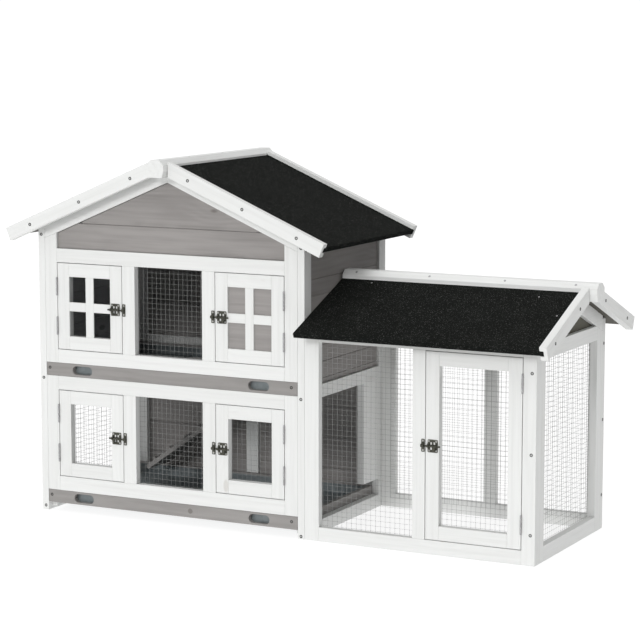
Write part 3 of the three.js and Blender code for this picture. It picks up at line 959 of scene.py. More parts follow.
@dataclass(frozen=True)
class Roof:
    """One gable roof: two felted panels, a ridge bar and channel bargeboards at its gables."""

    name: str
    eave: float
    half: float
    centre: float
    pitch: float
    ridge_rise: float
    overhang: float
    plan: Placement
    panel: float = 13.0
    felt: float = 1.6
    ridge_half: float = 27.0
    ridge_drop: float = 46.0
    ridge_flat: float = 13.5
    ridge_bevel: float = 13.0
    barge_low: float = -12.0
    barge_high: float = 25.0
    barge_depth: float = 20.0
    barge_web: float = 10.0

    @property
    def tangent(self) -> float:
        """The slope's rise over its level run."""
        return math.tan(math.radians(self.pitch))

    @property
    def cosine(self) -> float:
        """The cosine of the pitch."""
        return math.cos(math.radians(self.pitch))

    @property
    def sine(self) -> float:
        """The sine of the pitch."""
        return math.sin(math.radians(self.pitch))

    @property
    def apex(self) -> float:
        """The height at which the undersides of the two panels would meet."""
        return self.eave + self.half * self.tangent

    @property
    def top(self) -> float:
        """The height of the ridge bar's flat top."""
        return self.apex + self.ridge_rise

    @property
    def notch(self) -> Flat:
        """Half the width and the height of the notch that takes the ridge bar."""
        return self.ridge_half + FIT, self.top - self.ridge_drop - FIT

    @property
    def end(self) -> float:
        """The run down the slope to the bargeboards' square ends."""
        return (self.half + self.overhang - self.barge_high * self.sine) / self.cosine

    def under(self, across: float) -> float:
        """The height of the panels' underside at this distance from the ridge."""
        return self.apex - abs(across) * self.tangent

    def section(self) -> Placement:
        """The placement of the roof's section: across from the ridge, up, and deep along it."""
        return self.plan.moved(*(self.plan.across * self.centre))

    def slope(self, side: float, lengthwise: bool) -> Placement:
        """The placement on one slope, from the apex.

        Args:
            side: -1 or 1, the sign of across on that slope.
            lengthwise: Whether deep runs along the ridge and across down the slope, not the reverse.

        Returns:
            The placement; up is square to the slope.
        """
        down = self.plan.across * (side * self.cosine) - Z * self.sine
        square = self.plan.across * (side * self.sine) + Z * self.cosine
        corner = self.plan.across * self.centre + Z * self.apex
        along = self.plan.deep
        if lengthwise:
            return Placement(down, square, along, corner)
        return Placement(along, square, down, corner)

    def face(self, side: float) -> Placement:
        """The placement on one slope for nails: down it, along the ridge and deep into it."""
        down = self.slope(side, True)
        return Placement(down.across, down.deep, -down.up, down.corner)

    def far_end(self, side: float) -> Placement:
        """The placement on one slope's section as it is met from the far end of the ridge."""
        down = self.slope(side, True)
        return Placement(down.across, down.up, -down.deep, down.corner)

    def ridge_outline(self) -> list[Flat]:
        """The section of the ridge bar, counter-clockwise."""
        half = [
            (21.5, -self.ridge_drop),
            (self.ridge_half, -26.0),
            (self.ridge_half, -self.ridge_bevel),
            (self.ridge_flat, 0.0),
        ]
        right = [(u, self.top + v) for u, v in half]
        return right + mirrored(right)

    def ridge_bar(self, shop: Workshop, start: float, end: float, node: str) -> None:
        """Makes the ridge bar between two places along it."""
        piece = Piece.of(node)
        piece.prism(self.section(), self.ridge_outline(), start, end, Grain.DEEP, 1.1)
        piece.made(shop, Finish.PAINT)

    def covering(self, shop: Workshop, side: float, start: float, end: float, node: str) -> None:
        """Makes one panel and the felt that wraps its eave.

        Args:
            shop: Holds the materials.
            side: -1 or 1.
            start: Where the panel starts along the ridge.
            end: Where it ends.
            node: The CAD node that it stands for.
        """
        reach = (self.ridge_half + FIT) / self.cosine
        eave = self.end - 2.0
        board = self.panel - self.felt

        def from_ridge(offset: float) -> float:
            """The run at which the plumb cut at the ridge crosses an offset."""
            return reach - offset * self.tangent

        slope = self.slope(side, True)
        deck = Piece(f"{node}_boarding", node)
        foot, face = eave - self.felt - 0.1, board - 0.1
        section = [(from_ridge(0.0), 0.0), (foot, 0.0), (foot, face), (from_ridge(board), face)]
        deck.prism(slope, section, start, end, Grain.DEEP, 0.3)
        deck.made(shop, Finish.DECKING)
        felt = Piece(f"{node}_felt")
        outline = [
            (from_ridge(board), board),
            (eave - self.felt, board),
            (eave - self.felt, 0.2),
            (eave, 0.2),
            (eave, self.panel - 1.5),
            (eave - 1.5, self.panel),
            (from_ridge(self.panel), self.panel),
        ]
        felt.prism(slope, outline, start + 0.2, end - 0.2, Grain.DEEP, 0.25)
        felt.made(shop, Finish.FELT)

    def bargeboard(self, shop: Workshop, side: float, start: float, opens_deep: bool, node: str) -> None:
        """Makes one bargeboard, a channel that takes the panel's edge.

        Args:
            shop: Holds the materials.
            side: -1 or 1.
            start: Its near face along the ridge.
            opens_deep: Whether the channel opens to greater depth.
            node: The CAD node that it stands for.
        """
        low, high, inner = self.barge_low, self.barge_high, (-1.0, 14.0)
        full, web = self.barge_depth, self.barge_web
        outline = [
            (0.0, low), (full, low), (full, inner[0]), (web, inner[0]),
            (web, inner[1]), (full, inner[1]), (full, high), (0.0, high),
        ]
        if not opens_deep:
            outline = [(full - u, v) for u, v in reversed(outline)]
        place = self.slope(side, False)
        shifted = [(u + start, v) for u, v in outline]
        piece = Piece.of(node)
        begin = (self.ridge_half + FIT) / self.cosine
        piece.prism(place, shifted, begin, self.end, Grain.DEEP, 0.9, skew=-self.tangent)
        piece.made(shop, Finish.PAINT)

    def rafters(self, piece: Piece, reach: float, member: float, start: float, depth: float) -> None:
        """Adds a pair of rafters with the notch for the ridge bar.

        Args:
            piece: The piece that takes them.
            reach: How far they go from the ridge.
            member: Their width.
            start: Their near face along the ridge.
            depth: Their thickness.
        """
        drop = member / self.cosine
        notch, slot = self.notch
        for side in (-1.0, 1.0):
            outline = [
                (SEAM, self.apex - drop),
                (reach, self.under(reach) - drop),
                (reach, self.under(reach) - FIT),
                (notch, self.under(notch) - FIT),
                (notch, slot),
                (SEAM, slot),
            ]
            piece.prism(
                self.section(), mirrored(outline, side), start, start + depth, Grain.ACROSS, 0.8
            )

    def stiles(self, piece: Piece, reach: float, member: float, foot: float, deep: Flat) -> None:
        """Adds the pair of stiles that stand under the rafters.

        Args:
            piece: The piece that takes them.
            reach: How far their outer edges are from the ridge.
            member: Their width.
            foot: The height of their lower ends.
            deep: Their extent along the ridge.
        """
        drop = member / self.cosine
        inner = reach - member
        outline = [
            (inner, foot),
            (reach, foot),
            (reach, self.under(reach) - drop - SEAM),
            (inner, self.under(inner) - drop - SEAM),
        ]
        for side in (-1.0, 1.0):
            piece.prism(self.section(), mirrored(outline, side), *deep)


# ---- House ----------------------------------------------------------------------------------


@dataclass(frozen=True)
class House:
    """The two-storey house on the left."""

    width: float = 810.0
    depth: float = 480.0
    timber: float = 20.0
    post: float = 38.0
    member: float = 37.5
    mid_stile: float = 38.5
    side_sill: float = 35.0
    side_rail: Flat = (359.0, 394.0)
    side_top: float = 780.4
    upper: Window = (410.8, 447.3, 684.8, 722.3)
    lower: Window = (58.6, 98.0, 337.0, 374.7)
    tray_bases: Flat = (23.1, 375.3)
    back_inner: float = 458.0
    back_frame: float = 12.0
    back_board: float = 9.7
    back_rail_top: float = 429.0
    back_seam: float = 88.0
    infill: tuple[float, float] = (93.0, 80.0)
    runner: float = 14.0
    board_inset: float = 6.0
    side_seams: tuple[float, ...] = (408.0, 452.0, 496.0, 540.0, 584.0, 628.0, 672.0)
    gable_seam: float = 792.0
    wire_lap: float = 12.0
    gable_overhang: float = 42.0
    ridge_reach: float = 62.0
    screw: float = 4.2
    barge_screw: float = 4.3
    front_screws: tuple[Flat, ...] = (
        (9.5, 758.0), (10.5, 367.0), (11.0, 12.0), (799.5, 367.6), (799.5, 7.5), (800.0, 758.0),
    )
    side_screws: tuple[float, ...] = (752.0, 376.0, 18.0)
    side_screw_inset: float = 10.0
    barge_screws: tuple[float, ...] = (92.0, 266.0, 436.0)
    barge_screw_rise: float = 6.0
    ridge_nails: tuple[float, ...] = (-42.0, 110.0, 290.0, 500.0)
    ridge_nail_inset: float = 4.0
    barge_nails: tuple[float, ...] = (120.0, 300.0, 470.0)
    barge_nail_reach: float = 28.0

    @property
    def inner(self) -> Flat:
        """The inner faces of the two side frames."""
        return self.timber, self.width - self.timber

    @property
    def roof(self) -> Roof:
        """The roof over the house."""
        return Roof(
            "house", self.side_top + FIT, self.width / 2, self.width / 2, 23.0, 21.0, 77.0, FRONT
        )

    def bay(self, number: int) -> Flat:
        """The left and right edge of one of the three bays."""
        first = self.timber + FIT + self.member
        wide = (self.width - 2 * first - 2 * self.mid_stile) / 3
        left = first + number * (wide + self.mid_stile)
        return left, left + wide

    def window(self, storey: Window, number: int) -> Window:
        """The opening of one bay between the two rails of a storey."""
        left, right = self.bay(number)
        return left, storey[1], right, storey[2]

    def build(self, shop: Workshop) -> None:
        """Makes every fixed piece of the house."""
        self._side_frame(shop, "left", 0.0, self.timber - 1.0)
        self._side_frame(shop, "right", self.inner[1], self.inner[1] - self.runner)
        self._boards(shop)
        self._front_frames(shop)
        self._back(shop)
        self._wires(shop)
        self._covering(shop)
        self._fixings(shop)

    def _side_frame(self, shop: Workshop, side: str, x: float, runner_x: float) -> None:
        """Makes one side frame with its two runners, and the infill by the doorway."""
        piece = Piece.of(f"house_{side}_side_frame")
        deep = (x, x + self.timber)
        between = (self.post, self.depth - self.post)
        piece.stick(SIDE, (0.0, self.post), (0.0, self.side_top), deep)
        piece.stick(SIDE, (between[1], self.depth), (0.0, self.side_top), deep)
        rails = [(0.0, self.side_sill), self.side_rail, (self.side_top - self.member, self.side_top)]
        for rail in rails:
            piece.stick(SIDE, between, rail, deep, Grain.ACROSS)
        if side == "right":
            wide, foot = self.infill
            board = (between[1] - wide, between[1] - SEAM)
            piece.stick(SIDE, board, (foot, self.side_rail[0]), deep)
        for base in self.tray_bases:
            piece.stick(
                SIDE,
                (self.timber + FIT, self.back_inner - FIT),
                (base - FIT - self.runner, base - FIT),
                (runner_x, runner_x + self.runner + 1.0),
                Grain.ACROSS,
            )
        piece.made(shop, Finish.PAINT)

    def _boards(self, shop: Workshop) -> None:
        """Makes the level boards of the two upper sides and of the gable."""
        low = self.side_rail[1] + FIT
        high = self.side_top - self.member - FIT
        panel = rectangle(self.post + FIT, low, self.depth - self.post - FIT, high)
        boarding = Boarding()
        far = self.width - self.board_inset - boarding.thickness
        for side, deep in (("left", self.board_inset), ("right", far)):
            piece = Piece.of(f"house_{side}_boards")
            boarding.lay(piece, SIDE, panel, self.side_seams, deep)
            piece.made(shop, Finish.BOARDS)
        roof = self.roof
        reach = self.inner[1] - FIT - self.member - self.width / 2
        drop = self.member / roof.cosine + FIT
        gable = [
            (-reach + FIT, self.upper[3] + FIT),
            (reach - FIT, self.upper[3] + FIT),
            (reach - FIT, roof.under(reach) - drop),
            (0.0, roof.apex - drop),
            (-reach + FIT, roof.under(reach) - drop),
        ]
        piece = Piece.of("house_gable_board")
        gabled = Boarding(groove=2.4)
        gabled.lay(piece, roof.section(), gable, (self.gable_seam,), self.board_inset)
        piece.made(shop, Finish.BOARDS)

    def _front_frames(self, shop: Workshop) -> None:
        """Makes the upper front frame with its gable, and the lower one."""
        left, right = self.inner[0] + FIT, self.inner[1] - FIT
        roof = self.roof
        deep = (0.0, self.timber)
        piece = Piece.of("house_upper_front_frame")
        reach = self.width / 2 - left
        roof.stiles(piece, reach, self.member, self.upper[0], deep)
        roof.rafters(piece, reach, self.member, 0.0, self.timber)
        for rail in (self.upper[0:2], self.upper[2:4]):
            piece.stick(FRONT, (left + self.member, right - self.member), rail, deep, Grain.ACROSS)
        self._mid_stiles(piece, self.upper[1:3])
        piece.made(shop, Finish.PAINT)
        piece = Piece.of("house_lower_front_frame")
        for x in (left, right - self.member):
            piece.stick(FRONT, (x, x + self.member), (self.lower[0], self.lower[3]), deep)
        for rail in (self.lower[0:2], self.lower[2:4]):
            piece.stick(FRONT, (left + self.member, right - self.member), rail, deep, Grain.ACROSS)
        self._mid_stiles(piece, self.lower[1:3])
        piece.made(shop, Finish.PAINT)

    def _mid_stiles(self, piece: Piece, span: Flat) -> None:
        """Adds the two stiles between the bays of a storey."""
        for number in (0, 1):
            x = self.bay(number)[1]
            piece.stick(FRONT, (x, x + self.mid_stile), span, (0.0, self.timber))

    def _back(self, shop: Workshop) -> None:
        """Makes the back frame and the boards outside it."""
        left, right = self.inner[0] + FIT, self.inner[1] - FIT
        roof = self.roof
        reach = self.width / 2 - left
        deep = (self.back_inner, self.back_inner + self.back_frame)
        piece = Piece.of("house_back_frame")
        roof.stiles(piece, reach, self.member, 0.0, deep)
        roof.rafters(piece, reach, self.member, deep[0], self.back_frame)
        rails = [
            (0.0, self.side_sill),
            (self.back_rail_top - self.member, self.back_rail_top),
            (self.upper[3] - self.member, self.upper[3]),
        ]
        for rail in rails:
            piece.stick(FRONT, (left + self.member, right - self.member), rail, deep, Grain.ACROSS)
        middle = self.width / 2
        for low, high in zip(rails, rails[1:]):
            span = (low[1], high[0])
            piece.stick(FRONT, (middle - self.member / 2, middle + self.member / 2), span, deep)
        piece.made(shop, Finish.PAINT)
        piece = Piece.of("house_back_boards")
        notch, slot = roof.notch
        half = [
            (reach, 0.0),
            (reach, roof.under(reach) - FIT),
            (notch, roof.under(notch) - FIT),
            (notch, slot),
        ]
        outline = [(-reach, 0.0), *half, *mirrored(half)[:-1]]
        seams = [self.back_seam * i for i in range(1, 11)]
        face = self.depth - self.back_board
        Boarding(self.back_board).lay(piece, roof.section(), outline, seams, face)
        piece.made(shop, Finish.BOARDS)

    def _wires(self, shop: Workshop) -> None:
        """Makes the wire of the left window and of the two middle bays."""
        piece = Piece.of("house_left_window_wire")
        low, high = (self.post, self.side_sill), (self.depth - self.post, self.side_rail[0])
        WeldedWire().fill(piece, SIDE, low, high, self.board_inset)
        piece.made(shop, Finish.WIRE)
        lap = self.wire_lap
        for name, storey in (("upper", self.upper), ("lower", self.lower)):
            x0, z0, x1, z1 = self.window(storey, 1)
            low, high = (x0 - lap, z0 - lap), (x1 + lap, z1 + lap)
            piece = Piece.of(f"house_{name}_wire")
            WeldedWire().fill(piece, FRONT, low, high, self.timber + FIT)
            piece.made(shop, Finish.WIRE)

    def _covering(self, shop: Workshop) -> None:
        """Makes the roof."""
        roof = self.roof
        front, back = -self.gable_overhang, self.depth + self.gable_overhang - roof.barge_depth
        roof.ridge_bar(shop, -self.ridge_reach, self.depth + self.ridge_reach, "house_ridge_bar")
        start = front + roof.barge_web + FIT
        end = back + roof.barge_depth - roof.barge_web - FIT
        for name, side in (("left", -1.0), ("right", 1.0)):
            roof.covering(shop, side, start, end, f"house_roof_{name}")
            roof.bargeboard(shop, side, front, True, f"house_front_bargeboard_{name}")
            roof.bargeboard(shop, side, back, False, f"house_back_bargeboard_{name}")

    def _fixings(self, shop: Workshop) -> None:
        """Makes the screws of the posts and bargeboards, and the nails of the roof."""
        screws, screw, barge = Piece("house_screws"), Screw(self.screw), Screw(self.barge_screw)
        for x, z in self.front_screws:
            screw.drive(screws, FRONT, x, z, 0.0)
        right = Placement(Y, Z, -X, X * self.width)
        for z in self.side_screws:
            for y in (self.side_screw_inset, self.depth - self.side_screw_inset):
                screw.drive(screws, right, y, z, 0.0)
                screw.drive(screws, SIDE, y, z, 0.0)
        roof = self.roof
        rise, behind = self.barge_screw_rise, self.depth + self.gable_overhang
        for side in (-1.0, 1.0):
            for run in self.barge_screws:
                barge.drive(screws, roof.slope(side, True), run, rise, -self.gable_overhang)
                barge.drive(screws, roof.far_end(side), run, rise, -behind)
        screws.made(shop, Finish.SCREW)
        nails = Piece("house_nails")
        top = Placement(X, Y, -Z, X * roof.centre + Z * roof.top)
        for y in self.ridge_nails:
            Nail(2.4).drive(nails, top, self.ridge_nail_inset, y, 0.0)
        for side in (-1.0, 1.0):
            for run in self.barge_nails:
                Nail(1.8).drive(nails, roof.face(side), run, -self.barge_nail_reach, -roof.barge_high)
        nails.made(shop, Finish.HINGE)


# ---- Trays and ramp -------------------------------------------------------------------------


@dataclass(frozen=True)
class Tray:
    """A pull-out tray: a board front with finger slots, low walls and a zinc sheet."""

    level: str
    base: float
    left: float = 21.0
    right: float = 789.0
    back: float = 452.0
    height: float = 34.9
    wall: float = 12.0
    front: float = 15.0
    sheet: float = 1.5
    sheet_rise: float = 3.5
    sheet_lip: float = 27.0
    slot: Flat = (62.0, 23.5)
    slot_inset: float = 113.5
    hatch: Window | None = None
    plug: Flat | None = None
    plug_radius: float = 7.0
    screw: float = 4.2
    screw_rise: float = 0.6
    screw_insets: Flat = (10.0, 17.0)

    def build(self, shop: Workshop) -> None:
        """Makes the tray on its own body."""
        body = f"{self.level}_tray"
        top = self.base + self.height
        piece = Piece.of(f"{self.level}_tray_box")
        centres = (self.left + self.slot_inset, self.right - self.slot_inset)
        slots = [stadium(x, self.base + self.height / 2, *self.slot) for x in centres]
        board = rectangle(self.left, self.base, self.right, top)
        piece.prism(FRONT, board, 0.0, self.front, Grain.ACROSS, 1.0, slots)
        span = (self.base, top)
        walls = (self.front, self.back - self.wall)
        for x in (self.left, self.right - self.wall):
            piece.stick(SIDE, walls, span, (x, x + self.wall), Grain.ACROSS)
        deep = (self.back - self.wall, self.back)
        piece.stick(FRONT, (self.left, self.right), span, deep, Grain.ACROSS)
        piece.made(shop, Finish.TRAY, body)
        sheet = Piece.of(f"{self.level}_tray_sheet")
        inside = rectangle(
            self.left + self.wall + FIT,
            self.front + FIT,
            self.right - self.wall - FIT,
            self.back - self.wall - FIT,
        )
        holes = [rectangle(*self.hatch)] if self.hatch else []
        low = self.base + self.sheet_rise
        sheet.prism(LEVEL, inside, low, low + self.sheet, Grain.ACROSS, 0.3, holes)
        within = inset(inside, self.sheet)
        top = low + self.sheet_lip
        sheet.prism(LEVEL, inside, low + self.sheet + 0.02, top, Grain.ACROSS, 0.3, [within])
        sheet.made(shop, Finish.SHEET, body)
        screws = Piece(f"{self.level}_tray_screws")
        rise = self.base + self.height * self.screw_rise
        for x in (self.left + self.screw_insets[0], self.right - self.screw_insets[1]):
            Screw(self.screw).drive(screws, FRONT, x, rise, 0.0)
        screws.made(shop, Finish.SCREW, body)
        if self.plug:
            plug = Piece(f"{self.level}_tray_plug")
            round_plug = circle(self.plug[0], self.base + self.plug[1], self.plug_radius, 24)
            plug.prism(FRONT, round_plug, -0.5, 3.0, Grain.UP, 0.4)
            plug.made(shop, Finish.PLUG, body)


@dataclass(frozen=True)
class Ramp:
    """The cleated board between the two floors, against the back."""

    pitch: float = 35.0
    thickness: float = 12.0
    width: float = 119.0
    foot: tuple[float, float, float] = (132.0, 338.7, 62.0)
    length: float = 506.1
    cleat: float = 8.0
    cleat_pitch: float = 60.0

    def build(self, shop: Workshop) -> None:
        """Makes the ramp."""
        angle = math.radians(self.pitch)
        across = X * math.cos(angle) + Z * math.sin(angle)
        up = Z * math.cos(angle) - X * math.sin(angle)
        place = Placement(across, up, Y, Vector(self.foot))
        piece = Piece.of("ramp")
        piece.stick(place, (0.0, self.length), (0.0, self.thickness), (0.0, self.width), Grain.ACROSS)
        start = self.cleat_pitch / 2
        while start < self.length - self.cleat:
            edge = (start, start + self.cleat)
            top = (self.thickness + 0.05, self.thickness + self.cleat)
            piece.stick(place, edge, top, (2.0, self.width - 2.0), Grain.DEEP, 1.0)
            start += self.cleat_pitch
        piece.made(shop, Finish.TRAY)


# ---- Run ------------------------------------------------------------------------------------


@dataclass(frozen=True)
class Run:
    """The wire run on the ground beside the house."""

    left: float = 810.3
    right: float = 1448.0
    depth: float = 480.0
    timber: float = 20.0
    top: float = 561.7
    sill: float = 37.0
    opening_top: float = 520.0
    left_stile: float = 40.5
    mid_stile: Flat = (1115.0, 1150.0)
    right_stile: float = 35.5
    member: float = 37.5
    side_sill: float = 40.0
    side_rail: float = 510.0
    wire_lap: float = 12.0
    roof_left: float = 812.0
    barge_reach: float = 54.0
    gable_board: float = 8.0
    wire_depth: float = 1.9
    ridge_reach: float = 20.0
    screw: float = 4.2
    front_screws: tuple[float, ...] = (481.7, 279.0, 77.4)
    front_screw_inset: float = 12.0
    end_screw_inset: float = 10.0
    end_screw_step: float = 14.0
    barge_screws: tuple[float, ...] = (96.0, 273.0)
    barge_screw_rise: float = 6.0
    ridge_nails: tuple[float, ...] = (850.0, 1060.0, 1270.0, 1462.0)
    roof_nails: tuple[Flat, ...] = ((150.0, 1461.0), (60.0, 1380.0), (40.0, 905.0))

    @property
    def roof(self) -> Roof:
        """The roof over the run."""
        return Roof("run", self.top + FIT, self.depth / 2, self.depth / 2, 21.5, 26.0, 75.0, SIDE)

    def build(self, shop: Workshop) -> None:
        """Makes every fixed piece of the run."""
        self._long_frame(shop, "front", 0.0, self.right_stile)
        self._long_frame(shop, "back", self.depth - self.timber, self.member)
        self._end_frame(shop)
        self._wires(shop)
        self._covering(shop)
        self._fixings(shop)

    def _long_frame(self, shop: Workshop, name: str, y: float, right_stile: float) -> None:
        """Makes the front or the back frame."""
        piece = Piece.of(f"run_{name}_frame")
        deep = (y, y + self.timber)
        first, last = self.left + self.left_stile, self.right - right_stile
        piece.stick(FRONT, (self.left, first), (0.0, self.top), deep)
        piece.stick(FRONT, (last, self.right), (0.0, self.top), deep)
        piece.stick(FRONT, (first, last), (0.0, self.sill), deep, Grain.ACROSS)
        piece.stick(FRONT, (first, last), (self.opening_top, self.top), deep, Grain.ACROSS)
        piece.stick(FRONT, self.mid_stile, (self.sill, self.opening_top), deep)
        piece.made(shop, Finish.PAINT)

    def _end_frame(self, shop: Workshop) -> None:
        """Makes the right end frame with its gable."""
        roof = self.roof
        reach = self.depth / 2 - self.timber - FIT
        inner = reach - self.member
        drop = self.member / roof.cosine
        deep = (self.right - self.timber, self.right)
        piece = Piece.of("run_side_frame")
        roof.stiles(piece, reach, self.member, 0.0, deep)
        ends = (-inner, inner)
        piece.stick(roof.section(), ends, (0.0, self.side_sill), deep, Grain.ACROSS)
        rail_top = self.side_rail + self.member
        corner = roof.under(inner) - drop - SEAM
        meet = (roof.apex - drop - SEAM - rail_top) / roof.tangent
        rail = [(inner - SEAM, self.side_rail), (inner - SEAM, corner), (meet, rail_top)]
        piece.prism(roof.section(), rail + mirrored(rail), *deep, Grain.ACROSS)
        roof.rafters(piece, reach, self.member, deep[0], self.timber)
        piece.made(shop, Finish.PAINT)
        base, peak = rail_top + FIT, roof.apex - drop - 2 * FIT
        half = (peak - base) / roof.tangent
        # The infill board takes the darkened gable stain: its colour is painted shade from the run's roof
        # over it.
        board = Piece("run_gable_board")
        triangle = [(-half, base), (half, base), (0.0, peak)]
        span = (deep[0], deep[0] + self.gable_board)
        board.prism(roof.section(), triangle, *span, Grain.ACROSS, 0.3)
        board.made(shop, Finish.GABLE)

    def _wires(self, shop: Workshop) -> None:
        """Makes the wire of the front bay, of the back and of the end."""
        lap = self.wire_lap
        first = self.left + self.left_stile - lap
        low, high = self.sill - lap, self.opening_top + lap
        edge = self.timber + FIT
        inside = edge + self.wire_depth
        sides = (edge + self.member - lap, self.depth - edge - self.member + lap)
        panels = [
            ("front", FRONT, (first, low), (self.mid_stile[0] + lap, high), edge),
            ("back", FRONT, (first, low), (self.right - self.member + lap, high), self.depth - inside),
            (
                "side",
                SIDE,
                (sides[0], self.side_sill - lap),
                (sides[1], self.side_rail + lap),
                self.right - inside,
            ),
        ]
        for name, place, start, end, deep in panels:
            piece = Piece.of(f"run_{name}_wire")
            WeldedWire().fill(piece, place, start, end, deep)
            piece.made(shop, Finish.WIRE)

    def _covering(self, shop: Workshop) -> None:
        """Makes the roof."""
        roof = self.roof
        barge = self.right + self.barge_reach - roof.barge_depth
        end = self.right + self.barge_reach + self.ridge_reach
        roof.ridge_bar(shop, self.roof_left, end, "run_ridge_bar")
        panel_end = barge + roof.barge_depth - roof.barge_web - FIT
        for name, side in (("front", -1.0), ("back", 1.0)):
            roof.covering(shop, side, self.roof_left, panel_end, f"run_roof_{name}")
            roof.bargeboard(shop, side, barge, False, f"run_bargeboard_{name}")

    def _fixings(self, shop: Workshop) -> None:
        """Makes the screws of the frames and bargeboards, and the nails of the roof."""
        screws, screw = Piece("run_screws"), Screw(self.screw)
        end = Placement(Y, Z, -X, X * self.right)
        for z in self.front_screws:
            screw.drive(screws, FRONT, self.right - self.front_screw_inset, z, 0.0)
            y = self.depth - self.end_screw_inset
            screw.drive(screws, end, y, z + self.end_screw_step, 0.0)
        roof = self.roof
        face = -(self.right + self.barge_reach)
        for side in (-1.0, 1.0):
            for run in self.barge_screws:
                screw.drive(screws, roof.far_end(side), run, self.barge_screw_rise, face)
        screws.made(shop, Finish.SCREW)
        nails = Piece("run_nails")
        bevel, rise = roof.ridge_bevel, roof.ridge_flat
        out = Vector((0.0, -bevel, rise)).normalized()
        up = Vector((0.0, rise, bevel)).normalized()
        edge = Y * (roof.centre - roof.ridge_flat) + Z * roof.top
        shoulder = Placement(X, up, -out, edge)
        for x in self.ridge_nails:
            Nail(3.2).drive(nails, shoulder, x, -8.0, 0.0)
        for side in (-1.0, 1.0):
            for run, x in self.roof_nails:
                Nail(2.2).drive(nails, roof.face(side), run, x, -roof.panel)
        nails.made(shop, Finish.HINGE)


# ---- Doors ----------------------------------------------------------------------------------


class Fill(Enum):
    """What a door's window is filled with."""

    WIRE = "wire"
    ACRYLIC = "acrylic"
    BOARD = "board"

    @property
    def finish(self) -> Finish:
        """The finish of what fills it."""
        return {Fill.WIRE: Finish.WIRE, Fill.ACRYLIC: Finish.ACRYLIC}.get(self, Finish.BOARDS)


